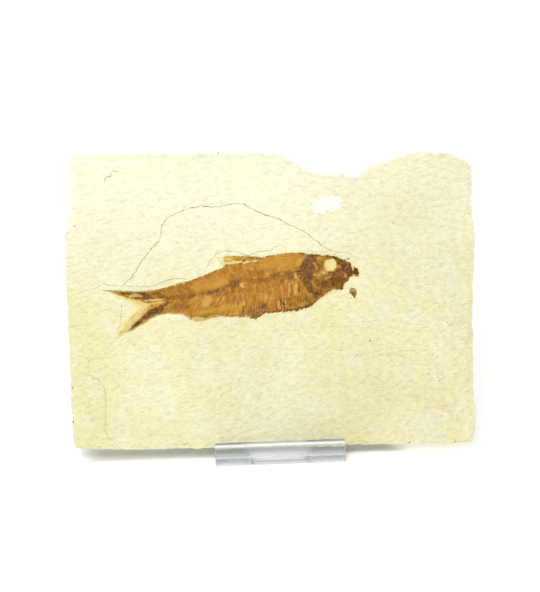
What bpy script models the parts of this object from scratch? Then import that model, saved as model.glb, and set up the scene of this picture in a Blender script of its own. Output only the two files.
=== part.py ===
# Fossil fish slab: a thin slab of pale limestone with one small herring-like fish in low relief,
# leaning on a display stand bent from one strip of clear acrylic.
#
# +Z is up and the fish looks out towards -Y. The origin is the middle of the resting surface.
# The sizes below are in millimetres; meshes are made in metres.

import math
import random

import bmesh
import bpy
from mathutils import Matrix, Vector, noise
from mathutils.geometry import delaunay_2d_cdt

MM = 0.001
GAP = 0.3  # clearance left between pieces that touch

# Slab, in its own plane: u to the right, v up from the front bottom edge, n out of the face
SLAB_THICK = 8.0
SLAB_LEAN = math.radians(18.0)
SLAB_FOOT_Y = 6.0  # front bottom edge, behind the front of the stand
BED_DEPTHS = (0.0, 2.5, 2.65, 5.3, 5.45, 8.0)  # the edge breaks in three beds
EDGE_STEP = 2.9  # length of one facet along the broken edge
EDGE_ROUGH = 0.55  # how far a bed can sit back from the edge of the face
FACE_STEP = 6.2
FACE_SWELL = 0.12
SLAB_BOTTOM = (
    (-74.7, 1.6), (-65.9, 0.9), (-47.6, 0.2), (-30.0, 0.0), (-24.0, 0.2), (0.0, 0.0), (25.6, -0.6),
    (36.6, -0.8), (42.0, -1.2), (51.5, -1.6), (55.6, -1.4), (61.1, -1.8), (66.3, -1.6), (70.5, -1.3),
)
SLAB_RIGHT = (
    (71.1, -0.3), (71.9, 2.9), (72.3, 7.0), (72.1, 12.0), (71.6, 14.4), (71.7, 19.3), (72.0, 35.4),
    (72.4, 50.7), (73.6, 65.8), (73.9, 70.8), (73.4, 83.7), (73.8, 94.0), (74.2, 99.8),
)
SLAB_TOP = (
    (72.9, 100.9), (69.9, 102.3), (66.9, 104.0), (64.3, 105.2), (58.1, 105.5), (52.9, 105.4),
    (45.8, 104.2), (40.7, 102.6), (37.5, 101.1), (34.3, 99.7), (31.7, 97.4), (29.2, 97.5),
    (27.1, 98.9), (22.0, 99.1), (16.8, 99.7), (13.4, 101.0), (9.8, 102.9), (6.3, 105.2),
    (2.8, 107.0), (0.3, 107.4), (-18.4, 108.2), (-47.3, 109.1), (-61.9, 109.6), (-74.4, 109.6),
)
SLAB_LEFT = ((-75.1, 105.6), (-75.9, 80.0), (-76.1, 63.5), (-75.9, 35.3), (-75.9, 4.6))
SCAR_AT, SCAR_RADIUS, SCAR_DEEP = (20.4, 87.5), 4.6, 0.55  # shallow spalled patch above the head
CORNER_CHIP = 0.7  # bevel of the front edge where it has crumbled

# Fish, in its own frame on the face: s from the snout to the tail, w towards its back
SNOUT_AT = (31.0, 62.5)
FISH_TURN = math.radians(6.7)
POCKET_DEEP = 0.8
FISH_BACK = (  # snout, head, back, dorsal fin and upper edge of the tail stalk
    (-0.3, 0.0), (0.9, 1.7), (2.0, 2.2), (2.9, 4.0), (4.5, 4.8), (6.2, 6.2), (8.6, 7.3), (9.9, 8.0),
    (11.9, 8.1), (13.1, 8.5), (14.5, 8.9), (17.2, 9.3), (19.0, 10.1), (22.4, 10.5), (25.8, 10.8),
    (29.4, 10.9), (32.7, 10.8), (34.6, 10.7), (36.4, 11.3), (39.4, 11.8), (42.0, 12.2), (45.6, 12.8),
    (47.4, 13.0), (48.0, 12.2), (47.3, 11.2), (48.0, 9.9), (48.6, 8.9), (50.0, 8.7), (52.3, 8.2),
    (54.8, 7.5), (57.3, 7.1), (60.1, 6.3), (63.0, 6.0), (66.9, 5.7), (69.3, 5.2), (72.7, 4.9),
)
FISH_TAIL = (  # upper lobe, fork, lower lobe
    (74.7, 4.7), (78.4, 5.1), (81.7, 5.3), (85.9, 6.1), (90.9, 7.1), (92.6, 7.4), (90.6, 6.3),
    (88.3, 4.9), (85.3, 3.3), (82.7, 2.0), (80.9, 1.4), (79.1, 0.7), (77.8, 0.0), (79.4, -1.1),
    (81.6, -2.9), (83.7, -4.5), (85.9, -6.0), (87.9, -7.3), (89.2, -8.2), (91.0, -9.6), (88.9, -9.5),
    (86.9, -8.9), (84.7, -8.1), (82.7, -7.3), (80.2, -6.4), (77.6, -5.1), (75.8, -4.3),
)
FISH_BELLY = (  # anal fin, pelvic fin, keel scutes, throat and lower jaw
    (72.9, -4.3), (70.9, -4.4), (66.3, -5.4), (64.3, -6.4), (63.1, -7.7), (60.6, -8.6), (57.8, -8.4),
    (55.8, -7.7), (52.4, -8.0), (49.0, -8.6), (46.6, -9.0), (42.1, -10.0), (39.9, -10.9),
    (38.4, -10.2), (36.0, -9.8), (32.6, -9.7), (30.2, -9.7), (28.4, -10.1), (27.5, -9.8),
    (26.4, -10.3), (25.4, -9.9), (24.2, -10.4), (23.2, -9.9), (22.0, -10.3), (20.9, -9.7),
    (19.6, -9.9), (18.3, -9.1), (17.0, -8.2), (15.6, -7.2), (13.6, -6.4), (11.6, -5.4), (9.9, -4.9),
    (8.5, -5.1), (7.2, -5.5), (6.2, -4.9), (5.9, -3.6), (4.1, -2.5), (2.9, -1.3), (1.4, -1.5),
    (0.4, -1.6),
)
BACKBONE = ((20.2, 4.7), (26.3, 5.9), (30.1, 5.7), (34.9, 5.2), (39.6, 4.3), (43.3, 3.4), (49.1, 2.3),
            (52.8, 1.9), (62.1, 1.7), (66.7, 1.1), (70.4, 0.9), (78.0, 0.2))
VERTEBRA_PITCH, VERTEBRA_COUNT = 1.4, 38
RIB_SLANT, SPINE_SLANT = 0.2, 0.75  # sideways run towards the tail for each millimetre up or down
EYE_AT, EYE_RADIUS = (9.9, 4.1), 2.3
GILL_EDGE = ((17.0, 9.2), (20.3, 5.6), (21.0, 3.0), (20.4, -1.2), (19.3, -4.1), (16.0, -6.6))
FLAKE = ((1.9, -5.6), (3.3, -5.1), (4.6, -5.8), (4.5, -7.0), (3.6, -8.2), (2.9, -9.7), (2.3, -9.0),
         (1.5, -7.1))

# Stand, seen from the side: y back from the front of the lip, z up from the table
SHEET = 3.0
STAND_WIDE = 47.5
STAND_TURN = math.radians(8.0)  # the lip leans out by this much
LIP_HIGH = 8.9
BEND_IN = 1.0  # inside radius of the two bends at the ledge
BACK_LONG = 60.0
WINDOW_LONG = 45.0  # up the back
WINDOW_HALF, LEG_HALF = 11.8, 11.0  # the leg is cut out of the window
WINDOW_FRONT, WINDOW_ROUND = 5.0, 2.9
LEG_SPREAD = math.radians(49.0)
LEG_BEND_IN = 1.5
TOP_CORNER = 6.0


def lerp_line(points, x):
    # value at x of the line through these (x, value) points
    for (x0, y0), (x1, y1) in zip(points, points[1:]):
        if x <= x1:
            return y0 + (y1 - y0) * max(0.0, x - x0) / (x1 - x0)
    return points[-1][1]


def smooth(low, high, x):
    t = min(1.0, max(0.0, (x - low) / (high - low)))
    return t * t * (3.0 - 2.0 * t)


def on_slab(u, v, n):
    # world point n in front of the slab's face
    y = SLAB_FOOT_Y + v * math.sin(SLAB_LEAN) - n * math.cos(SLAB_LEAN)
    z = SHEET + GAP + SLAB_THICK * math.sin(SLAB_LEAN) + v * math.cos(SLAB_LEAN) + n * math.sin(SLAB_LEAN)
    return Vector((u, y, z)) * MM


def from_fish(s, w):
    # slab coordinates of a point in the fish's frame
    u = SNOUT_AT[0] - s * math.cos(FISH_TURN) - w * math.sin(FISH_TURN)
    v = SNOUT_AT[1] - s * math.sin(FISH_TURN) + w * math.cos(FISH_TURN)
    return u, v


def edge_distance(point, loop):
    best = 1e9
    for a, b in zip(loop, loop[1:] + loop[:1]):
        du, dv = b[0] - a[0], b[1] - a[1]
        t = ((point[0] - a[0]) * du + (point[1] - a[1]) * dv) / max(du * du + dv * dv, 1e-9)
        t = min(1.0, max(0.0, t))
        best = min(best, math.hypot(point[0] - a[0] - t * du, point[1] - a[1] - t * dv))
    return best


def is_inside(point, loop):
    inside = False
    for (x0, y0), (x1, y1) in zip(loop, loop[1:] + loop[:1]):
        if (y0 > point[1]) != (y1 > point[1]) and point[0] < x0 + (point[1] - y0) / (y1 - y0) * (x1 - x0):
            inside = not inside
    return inside


def cut_edges(loop, step):
    # the same loop with no side longer than the step
    result = []
    for a, b in zip(loop, loop[1:] + loop[:1]):
        count = max(1, round(math.hypot(b[0] - a[0], b[1] - a[1]) / step))
        for i in range(count):
            result.append((a[0] + (b[0] - a[0]) * i / count, a[1] + (b[1] - a[1]) * i / count))
    return result


def side_normals(loop):
    # outward normals at the corners of an anticlockwise loop
    normals = []
    for before, after in zip(loop[-1:] + loop[:-1], loop[1:] + loop[:1]):
        du, dv = after[0] - before[0], after[1] - before[1]
        length = math.hypot(du, dv)
        normals.append((dv / length, -du / length))
    return normals


def grow(loop, by):
    return [(p[0] + n[0] * by, p[1] + n[1] * by) for p, n in zip(loop, side_normals(loop))]


def fill(loops, points, holes=()):
    # triangles between the loops, through the points, and the flat positions of their corners
    flat = [p for loop in loops for p in loop] + list(points)
    sides = []
    start = 0
    for loop in loops:
        sides += [(start + i, start + (i + 1) % len(loop)) for i in range(len(loop))]
        start += len(loop)
    corners, _, faces, origins, _, _ = delaunay_2d_cdt([Vector(p) for p in flat], sides, [], 1, 1e-5)
    kept = []
    for face in faces:
        middle = sum((corners[i] for i in face), Vector((0.0, 0.0))) / len(face)
        if not any(is_inside(middle, hole) for hole in holes):
            kept.append([origins[i][0] for i in face])
    return flat, kept


def add_faces(mesh, corners, faces):
    for face in faces:
        mesh.faces.new([corners[i] for i in face])


def add_wall(mesh, upper, lower):
    # wall between two anticlockwise rings of corners, the lower one behind the upper one
    count = len(upper)
    for i in range(count):
        j = (i + 1) % count
        mesh.faces.new((upper[i], lower[i], lower[j]))
        mesh.faces.new((upper[i], lower[j], upper[j]))


def make_object(name, mesh, colour, roughness, transmission=0.0, ior=1.5):
    material = bpy.data.materials.new(name)
    material.use_nodes = True
    surface = material.node_tree.nodes["Principled BSDF"]
    surface.inputs["Base Color"].default_value = (*colour, 1.0)
    surface.inputs["Roughness"].default_value = roughness
    surface.inputs["Metallic"].default_value = 0.0
    surface.inputs["Transmission Weight"].default_value = transmission
    surface.inputs["IOR"].default_value = ior
    data = bpy.data.meshes.new(name)
    bmesh.ops.recalc_face_normals(mesh, faces=mesh.faces)
    mesh.to_mesh(data)
    mesh.free()
    data.materials.append(material)
    made = bpy.data.objects.new(name, data)
    bpy.context.scene.collection.objects.link(made)
    return made


def slab_outline():
    # the face's edge, with the small steps of a hand-broken stone
    loop = cut_edges(list(SLAB_BOTTOM + SLAB_RIGHT + SLAB_TOP + SLAB_LEFT), EDGE_STEP)
    rng = random.Random(4)
    rough = [rng.uniform(-0.2, 0.1) for _ in loop]
    return [(p[0] + n[0] * r, p[1] + n[1] * r) for p, n, r in zip(loop, side_normals(loop), rough)]


def fish_outline():
    return [from_fish(*p) for p in FISH_BACK + FISH_TAIL + FISH_BELLY]


def face_height(u, v, outline):
    # the face swells a little, has one spalled patch, and crumbles along its edge
    swell = FACE_SWELL * noise.noise(Vector((u / 17.0, v / 17.0, 3.0)))
    off_scar = math.hypot(u - SCAR_AT[0], (v - SCAR_AT[1]) * 1.3)
    scar = SCAR_DEEP * (1.0 - smooth(SCAR_RADIUS * 0.5, SCAR_RADIUS, off_scar))
    crumble = 0.5 + noise.noise(Vector((u / 9.0, v / 9.0, 8.0)))
    edge = CORNER_CHIP * max(0.0, crumble) * (1.0 - smooth(0.2, 3.0, edge_distance((u, v), outline)))
    return swell - scar - edge


def bed_ring(outline, depth, bed):
    # the edge at one depth: each bed is broken back by its own amount, and the part of the
    # bottom edge that stands on the ledge comes level at the back
    ring = []
    share = depth / SLAB_THICK
    for (u, v), (du, dv) in zip(outline, side_normals(outline)):
        rough = 0.5 + 0.5 * noise.noise(Vector((u / 6.0, v / 6.0, 20.0 * bed)))
        back = EDGE_ROUGH * (0.25 + rough) if depth else 0.0
        level = smooth(31.0, 26.0, abs(u)) * share if v < 5.0 else 0.0
        target = max(0.0, 0.05 - back * dv)
        ring.append((u - du * back, (v - dv * back) * (1.0 - level) + target * level))
    return ring


def build_slab():
    mesh = bmesh.new()
    outline = slab_outline()
    pockets = [grow(fish_outline(), GAP + 0.05), grow([from_fish(*p) for p in FLAKE], GAP)]
    rng = random.Random(7)
    points = []
    for i in range(int(160 / FACE_STEP)):
        for j in range(int(120 / FACE_STEP)):
            u = -78.0 + (i + rng.uniform(0.2, 0.8)) * FACE_STEP
            v = -3.0 + (j + rng.uniform(0.2, 0.8)) * FACE_STEP
            clear = is_inside((u, v), outline) and edge_distance((u, v), outline) > 0.4 * FACE_STEP
            if clear and not any(is_inside((u, v), p) or edge_distance((u, v), p) < 1.5 for p in pockets):
                points.append((u, v))
    for k in range(10):
        angle = math.tau * k / 10
        for radius in (0.55 * SCAR_RADIUS, SCAR_RADIUS * (0.95 + 0.2 * math.sin(3 * angle))):
            points.append((SCAR_AT[0] + radius * math.cos(angle), SCAR_AT[1] + 0.8 * radius * math.sin(angle)))
    flat, faces = fill([outline, *pockets], points, pockets)
    on_pocket = range(len(outline), len(flat) - len(points))
    corners = []
    for i, (u, v) in enumerate(flat):
        height = 0.0 if i in on_pocket else face_height(u, v, outline)
        corners.append(mesh.verts.new(on_slab(u, v, height)))
    add_faces(mesh, corners, faces)

    start = len(outline)
    for pocket in pockets:
        rim = corners[start:start + len(pocket)]
        start += len(pocket)
        floor = [mesh.verts.new(on_slab(u, v, -POCKET_DEEP)) for u, v in pocket]
        add_wall(mesh, floor, rim)
        add_faces(mesh, floor, fill([pocket], [])[1])

    upper = corners[:len(outline)]
    for level, depth in enumerate(BED_DEPTHS[1:], 1):
        ring = bed_ring(outline, depth, level // 2)
        lower = [mesh.verts.new(on_slab(u, v, -depth)) for u, v in ring]
        add_wall(mesh, upper, lower)
        upper = lower
    add_faces(mesh, upper, fill([ring], [])[1])
    return make_object("slab", mesh, (0.87, 0.84, 0.66), 0.85)


def rib_points():
    # (s, w, height): a ridge and a dip for each vertebra, and ribs and spines that run out from it
    points = []
    for k in range(2 * VERTEBRA_COUNT):
        s = 21.6 + k * VERTEBRA_PITCH / 2
        crest = 1.0 if k % 2 == 0 else 0.0
        w = lerp_line(BACKBONE, s)
        points.append((s, w, 0.75 + 0.3 * crest))
        for share in (0.16, 0.36, 0.56, 0.76):
            down = share * (w - lerp_line(BELLY_LINE, s))
            up = share * (lerp_line(BACK_LINE, s) - w)
            fade = smooth(1.0, 0.5, share)
            points.append((s + RIB_SLANT * down, w - down, 0.5 + 0.22 * crest * fade))
            if s + SPINE_SLANT * up < 73.0:
                points.append((s + SPINE_SLANT * up, w + up, 0.48 + 0.2 * crest * fade))
    return points


def head_height(s, w):
    # skull roof and gill cover stand up round the hollow of the eye; the cheek lies lower
    off_eye = math.hypot(s - EYE_AT[0], w - EYE_AT[1])
    to_gill = edge_distance((s, w), list(GILL_EDGE) + list(GILL_EDGE[-2:0:-1]))
    ring = 0.35 * (1.0 - smooth(0.0, 1.1, abs(off_eye - EYE_RADIUS - 0.5)))
    hollow = 0.45 * (1.0 - smooth(EYE_RADIUS * 0.6, EYE_RADIUS, off_eye))
    plate = 0.4 * (1.0 - smooth(0.4, 2.4, to_gill))
    lumps = 0.35 * noise.noise(Vector((s / 1.6, w / 1.6, 5.0)))
    return 0.8 + ring - hollow + plate + lumps


def head_points():
    rng = random.Random(11)
    points = []
    for i in range(22):
        for j in range(22):
            s = (i + rng.uniform(0.2, 0.8)) * 0.95
            w = -10.0 + (j + rng.uniform(0.2, 0.8)) * 0.95
            if s < lerp_line([(b, a) for a, b in reversed(GILL_EDGE)], w):
                points.append((s, w, head_height(s, w)))
    return points


def ray_points():
    # ridged rays down each lobe of the tail, and along the dorsal fin
    points = []
    lobes = (((76.5, 3.6), (90.0, 6.7)), ((76.5, 2.2), (86.5, 4.8)), ((76.5, 0.9), (82.0, 2.6)),
             ((76.0, -0.8), (83.0, -4.8)), ((75.5, -2.0), (87.0, -7.8)), ((75.5, -3.2), (86.0, -8.0)),
             ((38.0, 10.9), (46.6, 12.2)), ((40.5, 10.4), (46.6, 10.7)))
    for start, end in lobes:
        count = max(3, int((end[0] - start[0]) / 1.4))
        for i in range(count):
            t = i / (count - 1)
            points.append((start[0] + (end[0] - start[0]) * t, start[1] + (end[1] - start[1]) * t,
                           0.62 - 0.25 * t + 0.06 * (i % 2)))
    return points


def build_fish():
    mesh = bmesh.new()
    outline = fish_outline()
    inner, heights = [], []
    for s, w, height in rib_points() + head_points() + ray_points():
        point = from_fish(s, w)
        spaced = all(math.dist(point, other) > 0.42 for other in inner)
        if spaced and is_inside(point, outline) and edge_distance(point, outline) > 0.35:
            inner.append(point)
            heights.append(height)
    flat, faces = fill([outline], inner)
    rim_height = [0.3] * len(outline)
    top = [mesh.verts.new(on_slab(*p, h)) for p, h in zip(flat, rim_height + heights)]
    add_faces(mesh, top, faces)
    base = [mesh.verts.new(on_slab(u, v, GAP - POCKET_DEEP)) for u, v in outline]
    add_wall(mesh, top[:len(outline)], base)
    add_faces(mesh, base, fill([outline], [])[1])
    return make_object("fish", mesh, (0.46, 0.25, 0.06), 0.5)


def build_flake():
    mesh = bmesh.new()
    outline = [from_fish(*p) for p in FLAKE]
    middle = from_fish(3.0, -6.9)
    flat, faces = fill([outline], [middle])
    top = [mesh.verts.new(on_slab(*p, 0.25)) for p in flat[:-1]] + [mesh.verts.new(on_slab(*middle, 0.6))]
    add_faces(mesh, top, faces)
    base = [mesh.verts.new(on_slab(u, v, GAP - POCKET_DEEP)) for u, v in outline]
    add_wall(mesh, top[:-1], base)
    add_faces(mesh, base, fill([outline], [])[1])
    return make_object("loose_bone_flake", mesh, (0.36, 0.24, 0.13), 0.55)


def arc(centre, inner, start, end, steps):
    # (inside, outside) points of a bend in the sheet
    pairs = []
    for i in range(steps + 1):
        angle = start + (end - start) * i / steps
        side = Vector((math.cos(angle), math.sin(angle)))
        pairs.append((centre + side * inner, centre + side * (inner + SHEET)))
    return pairs


def sheet_profile():
    # (inside, outside) pairs down the lip, along the ledge and up the back, and the numbers of
    # the pairs where the window starts and ends
    bend = BEND_IN + SHEET
    front = arc(Vector((bend, bend)), BEND_IN, math.pi + STAND_TURN, 1.5 * math.pi, 5)
    out_of_lip = Vector((-math.sin(STAND_TURN), math.cos(STAND_TURN)))
    rise = (LIP_HIGH - front[0][1].y) / out_of_lip.y
    lip = tuple(p + out_of_lip * rise for p in front[0])
    window_start = tuple(Vector((WINDOW_FRONT + WINDOW_ROUND, z)) for z in (SHEET, 0.0))
    foot_back = SLAB_FOOT_Y + SLAB_THICK * math.cos(SLAB_LEAN)
    turn = 0.5 * math.pi - SLAB_LEAN
    rear_y = foot_back + GAP / math.cos(SLAB_LEAN) - GAP * math.tan(SLAB_LEAN) - BEND_IN * math.tan(turn / 2)
    rear = arc(Vector((rear_y, bend)), BEND_IN, 1.5 * math.pi, 1.5 * math.pi + turn, 5)
    up = Vector((math.sin(SLAB_LEAN), math.cos(SLAB_LEAN)))
    pairs = [lip, *front, window_start, *rear]
    first = len(front) + 1
    pairs.append(tuple(p + up * WINDOW_LONG for p in rear[-1]))
    last = len(pairs) - 1
    for i in range(6):
        along = BACK_LONG - TOP_CORNER + TOP_CORNER * math.sin(0.1 * math.pi * i)
        pairs.append(tuple(p + up * along for p in rear[-1]))
    return pairs, first, last


def leg_profile(start):
    # from the top of the window, bent backwards and down to the table
    inside, outside = start
    to_rear = (outside - inside).normalized()
    centre = outside + to_rear * LEG_BEND_IN
    first = math.atan2(-to_rear.y, -to_rear.x)
    pairs = arc(centre, LEG_BEND_IN, first, first + LEG_SPREAD, 5)[1:]
    pairs = [(far, near) for near, far in pairs]
    down = Vector((-math.sin(SLAB_LEAN), -math.cos(SLAB_LEAN)))
    down.rotate(Matrix.Rotation(LEG_SPREAD, 2))
    return pairs, down


def build_stand():
    mesh = bmesh.new()
    pairs, first, last = sheet_profile()
    lines = (0.0, 5.5, 8.8, LEG_HALF, WINDOW_HALF, STAND_WIDE / 2)
    lines = [-x for x in reversed(lines[1:])] + list(lines)
    corner_start = len(pairs) - 6

    def row(pair, widest=STAND_WIDE / 2):
        made = []
        for x in lines:
            x = math.copysign(min(abs(x), widest), x)
            made.append(tuple(mesh.verts.new(Vector((x, p.x, p.y)) * MM) for p in pair))
        return made

    rows = []
    for i, pair in enumerate(pairs):
        step = max(0, i - corner_start)
        inset = TOP_CORNER * (1.0 - math.cos(0.1 * math.pi * step))
        rows.append(row(pair, STAND_WIDE / 2 - inset))
    for (x, pair) in zip(lines, rows[first]):  # the window's front edge is an arc
        if abs(x) < WINDOW_HALF:
            forward = WINDOW_ROUND * math.sqrt(1.0 - (x / WINDOW_HALF) ** 2)
            for corner in pair:
                corner.co.y -= forward * MM

    leg_pairs, down = leg_profile(pairs[last])
    leg = [rows[last]] + [row(pair) for pair in leg_pairs]
    tip = []
    for x in lines:
        short = WINDOW_ROUND * (1.0 - math.sqrt(max(0.0, 1.0 - (x / WINDOW_HALF) ** 2)))
        ends = []
        for p in leg_pairs[-1]:
            end = p + down * (p.y / -down.y - short)
            ends.append(mesh.verts.new(Vector((x, end.x, end.y)) * MM))
        tip.append(tuple(ends))
    leg.append(tip)

    def add_strip(upper, lower, kept):
        # one row of the sheet between two profile pairs, with its cut edges
        for i in range(len(lines) - 1):
            if not kept(i):
                continue
            corners = (upper[i], upper[i + 1], lower[i + 1], lower[i])
            mesh.faces.new([c[0] for c in corners])
            mesh.faces.new([c[1] for c in reversed(corners)])
            if i == 0 or not kept(i - 1):
                mesh.faces.new((upper[i][0], lower[i][0], lower[i][1], upper[i][1]))
            if i == len(lines) - 2 or not kept(i + 1):
                j = i + 1
                mesh.faces.new((upper[j][1], lower[j][1], lower[j][0], upper[j][0]))

    def add_end(line, kept):
        for i in range(len(lines) - 1):
            if kept(i):
                mesh.faces.new((line[i][0], line[i][1], line[i + 1][1], line[i + 1][0]))

    def whole(i):
        return True

    def beside_window(i):
        return abs(lines[i] + lines[i + 1]) > 2 * WINDOW_HALF

    def in_window(i):
        return not beside_window(i)

    def in_leg(i):
        return abs(lines[i] + lines[i + 1]) < 2 * LEG_HALF

    def in_slit(i):
        return in_window(i) and not in_leg(i)

    for i, (upper, lower) in enumerate(zip(rows, rows[1:])):
        add_strip(upper, lower, beside_window if first <= i < last else whole)
    for upper, lower in zip(leg, leg[1:]):
        add_strip(upper, lower, in_leg)
    add_end(rows[0], whole)
    add_end(rows[first], in_window)
    add_end(rows[last], in_slit)
    add_end(rows[-1], whole)
    add_end(tip, in_leg)
    unused = [v for v in mesh.verts if not v.link_faces]
    bmesh.ops.delete(mesh, geom=unused, context="VERTS")
    return make_object("stand", mesh, (0.93, 0.96, 0.96), 0.04, 1.0, 1.49)


def centre_on_origin(pieces):
    # the box of the whole object stands on z = 0 with its middle over the origin
    points = [v.co for piece in pieces for v in piece.data.vertices]
    low = Vector([min(p[i] for p in points) for i in range(3)])
    high = Vector([max(p[i] for p in points) for i in range(3)])
    holder = bpy.data.objects.new("fossil_display", None)
    bpy.context.scene.collection.objects.link(holder)
    holder.location = (-(low.x + high.x) / 2, -(low.y + high.y) / 2, -low.z)
    for piece in pieces:
        piece.parent = holder


for old in list(bpy.data.objects):
    bpy.data.objects.remove(old, do_unlink=True)

BACK_LINE = [p for p in FISH_BACK if p[1] < 10.95 and not 34.5 < p[0] < 48.5] + [FISH_TAIL[0]]
BELLY_LINE = [FISH_TAIL[-1], *FISH_BELLY][::-1]
centre_on_origin([build_slab(), build_fish(), build_flake(), build_stand()])
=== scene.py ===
# Fossil fish slab: pale laminated limestone with one small herring-like fish in low relief,
# leaning on an easel stand bent from clear acrylic sheet.

import math

import bmesh
import bpy
import numpy as np
from mathutils import Matrix, Vector, noise
from mathutils.geometry import delaunay_2d_cdt


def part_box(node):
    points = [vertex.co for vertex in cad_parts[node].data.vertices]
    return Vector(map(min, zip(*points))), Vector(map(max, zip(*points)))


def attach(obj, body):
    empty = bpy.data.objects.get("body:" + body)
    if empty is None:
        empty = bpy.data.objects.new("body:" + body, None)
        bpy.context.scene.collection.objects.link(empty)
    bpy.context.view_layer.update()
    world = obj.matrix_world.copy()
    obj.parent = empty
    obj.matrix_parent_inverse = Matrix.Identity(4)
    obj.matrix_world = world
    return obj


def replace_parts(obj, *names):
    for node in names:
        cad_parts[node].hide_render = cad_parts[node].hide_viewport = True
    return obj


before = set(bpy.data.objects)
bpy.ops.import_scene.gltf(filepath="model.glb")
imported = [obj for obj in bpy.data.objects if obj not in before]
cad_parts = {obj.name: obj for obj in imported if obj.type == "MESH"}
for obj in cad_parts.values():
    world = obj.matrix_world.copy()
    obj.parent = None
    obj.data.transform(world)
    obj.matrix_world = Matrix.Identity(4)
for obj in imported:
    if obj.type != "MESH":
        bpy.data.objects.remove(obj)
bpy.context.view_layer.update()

mm = 0.001

# The slab's own frame: u to the right and v up along its face, n out of it, in millimetres
placing = {"lean": 18.0, "thick": 8.0, "footY": 6.0, "ledge": 3.3, "lipOut": 0.63}
lean = math.radians(placing["lean"])
standLow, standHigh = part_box("stand")
slabAxes = np.array((
    (1.0, 0.0, 0.0), (0.0, math.sin(lean), math.cos(lean)), (0.0, -math.cos(lean), math.sin(lean))))
slabOrigin = np.array((
    (standLow.x + standHigh.x) / 2,
    standLow.y + (placing["lipOut"] + placing["footY"]) * mm,
    (placing["ledge"] + placing["thick"] * math.sin(lean)) * mm,
))
fishAt, fishTurn = (31.0, 62.5), math.radians(6.7)  # snout, and how far the tail drops


def onSlab(points):
    return slabOrigin + np.asarray(points, float) @ slabAxes * mm


def toSlab(world):
    return (np.asarray(world, float) - slabOrigin) / mm @ slabAxes.T


def fromFish(points):
    # the fish's frame has s from the snout towards the tail and w towards the back
    s, w = np.asarray(points, float).T
    return np.stack((fishAt[0] - s * math.cos(fishTurn) - w * math.sin(fishTurn),
                     fishAt[1] - s * math.sin(fishTurn) + w * math.cos(fishTurn)), 1)


def toFish(points):
    du, dv = fishAt[0] - points[:, 0], points[:, 1] - fishAt[1]
    return np.stack((du * math.cos(fishTurn) - dv * math.sin(fishTurn),
                     du * math.sin(fishTurn) + dv * math.cos(fishTurn)), 1)


def smooth(low, high, x):
    t = np.clip((x - low) / (high - low), 0.0, 1.0)
    return t * t * (3.0 - 2.0 * t)


def bumps(points, size, seed, octaves=1, stretch=(1.0, 1.0)):
    # smooth noise from -1 to 1 with lumps about this many millimetres across
    total = np.zeros(len(points))
    for k in range(octaves):
        x, y = (points[:, i] * 2 ** k / size / stretch[i] for i in (0, 1))
        total += np.array([noise.noise((a, b, seed + 7.3 * k)) for a, b in zip(x, y)]) / 2 ** k
    return total


def distanceTo(points, line, closed=False):
    line = np.asarray(line, float)
    if len(line) == 1:
        return np.hypot(*(points - line[0]).T)
    starts, ends = (line, np.roll(line, -1, 0)) if closed else (line[:-1], line[1:])
    best = np.full(len(points), 1e9)
    for a, b in zip(starts, ends):
        d = b - a
        t = np.clip((points - a) @ d / max(d @ d, 1e-9), 0.0, 1.0)
        best = np.minimum(best, np.hypot(*(points - a - t[:, None] * d).T))
    return best


def insideOf(points, loop):
    inside = np.zeros(len(points), bool)
    x, y = points.T
    for (x0, y0), (x1, y1) in zip(loop, np.roll(loop, -1, 0)):
        if y0 != y1:
            inside ^= ((y0 > y) != (y1 > y)) & (x < x0 + (y - y0) / (y1 - y0) * (x1 - x0))
    return inside


def rimLoops(node, keeps):
    # (u, v) loops round the faces of a CAD node that the test keeps, longest first
    merged = bmesh.new()
    merged.from_mesh(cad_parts[node].data)
    bmesh.ops.remove_doubles(merged, verts=merged.verts, dist=1e-6)
    follow = {}
    outwards = Vector(slabAxes[2])
    kept = [f for f in merged.faces if keeps(f.normal.dot(outwards), toSlab([v.co for v in f.verts])[:, 2])]
    known = set(kept)
    for face in kept:
        for corner in face.loops:
            if not any(other in known for other in corner.edge.link_faces if other != face):
                follow[corner.vert] = corner.link_loop_next.vert
    loops = []
    while follow:
        start, here = follow.popitem()
        loop = [start]
        while here != start:
            loop.append(here)
            here = follow.pop(here)
        flat = toSlab([v.co for v in loop])[:, :2]
        area = np.sum(flat[:, 0] * np.roll(flat[:, 1], -1) - flat[:, 1] * np.roll(flat[:, 0], -1))
        loops.append(flat if area > 0 else flat[::-1])
    merged.free()
    return sorted(loops, key=len, reverse=True)


def loopNormals(loop):
    along = np.roll(loop, -1, 0) - np.roll(loop, 1, 0)
    return np.stack((along[:, 1], -along[:, 0]), 1) / np.hypot(*along.T)[:, None]


def roughLoop(loop, step, rough, size, seed):
    # the loop cut into short steps, each corner pushed in or out by noise
    parts = []
    for a, b in zip(loop, np.roll(loop, -1, 0)):
        count = max(1, round(math.dist(a, b) / step))
        parts.append(a + (b - a) * np.arange(count)[:, None] / count)
    fine = np.vstack(parts)
    return fine + loopNormals(fine) * (bumps(fine, size, seed, 3) * rough)[:, None]


def scatterInside(loop, step, margin, seed):
    # loose grid of points inside a loop, away from its edge
    rng = np.random.default_rng(seed)
    low, high = loop.min(0), loop.max(0)
    u, v = np.meshgrid(np.arange(low[0], high[0], step), np.arange(low[1], high[1], step))
    points = np.stack((u.ravel(), v.ravel()), 1) + rng.uniform(-0.22, 0.22, (u.size, 2)) * step
    points = points[insideOf(points, loop)]
    return points[distanceTo(points, loop, True) > margin * step]


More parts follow.
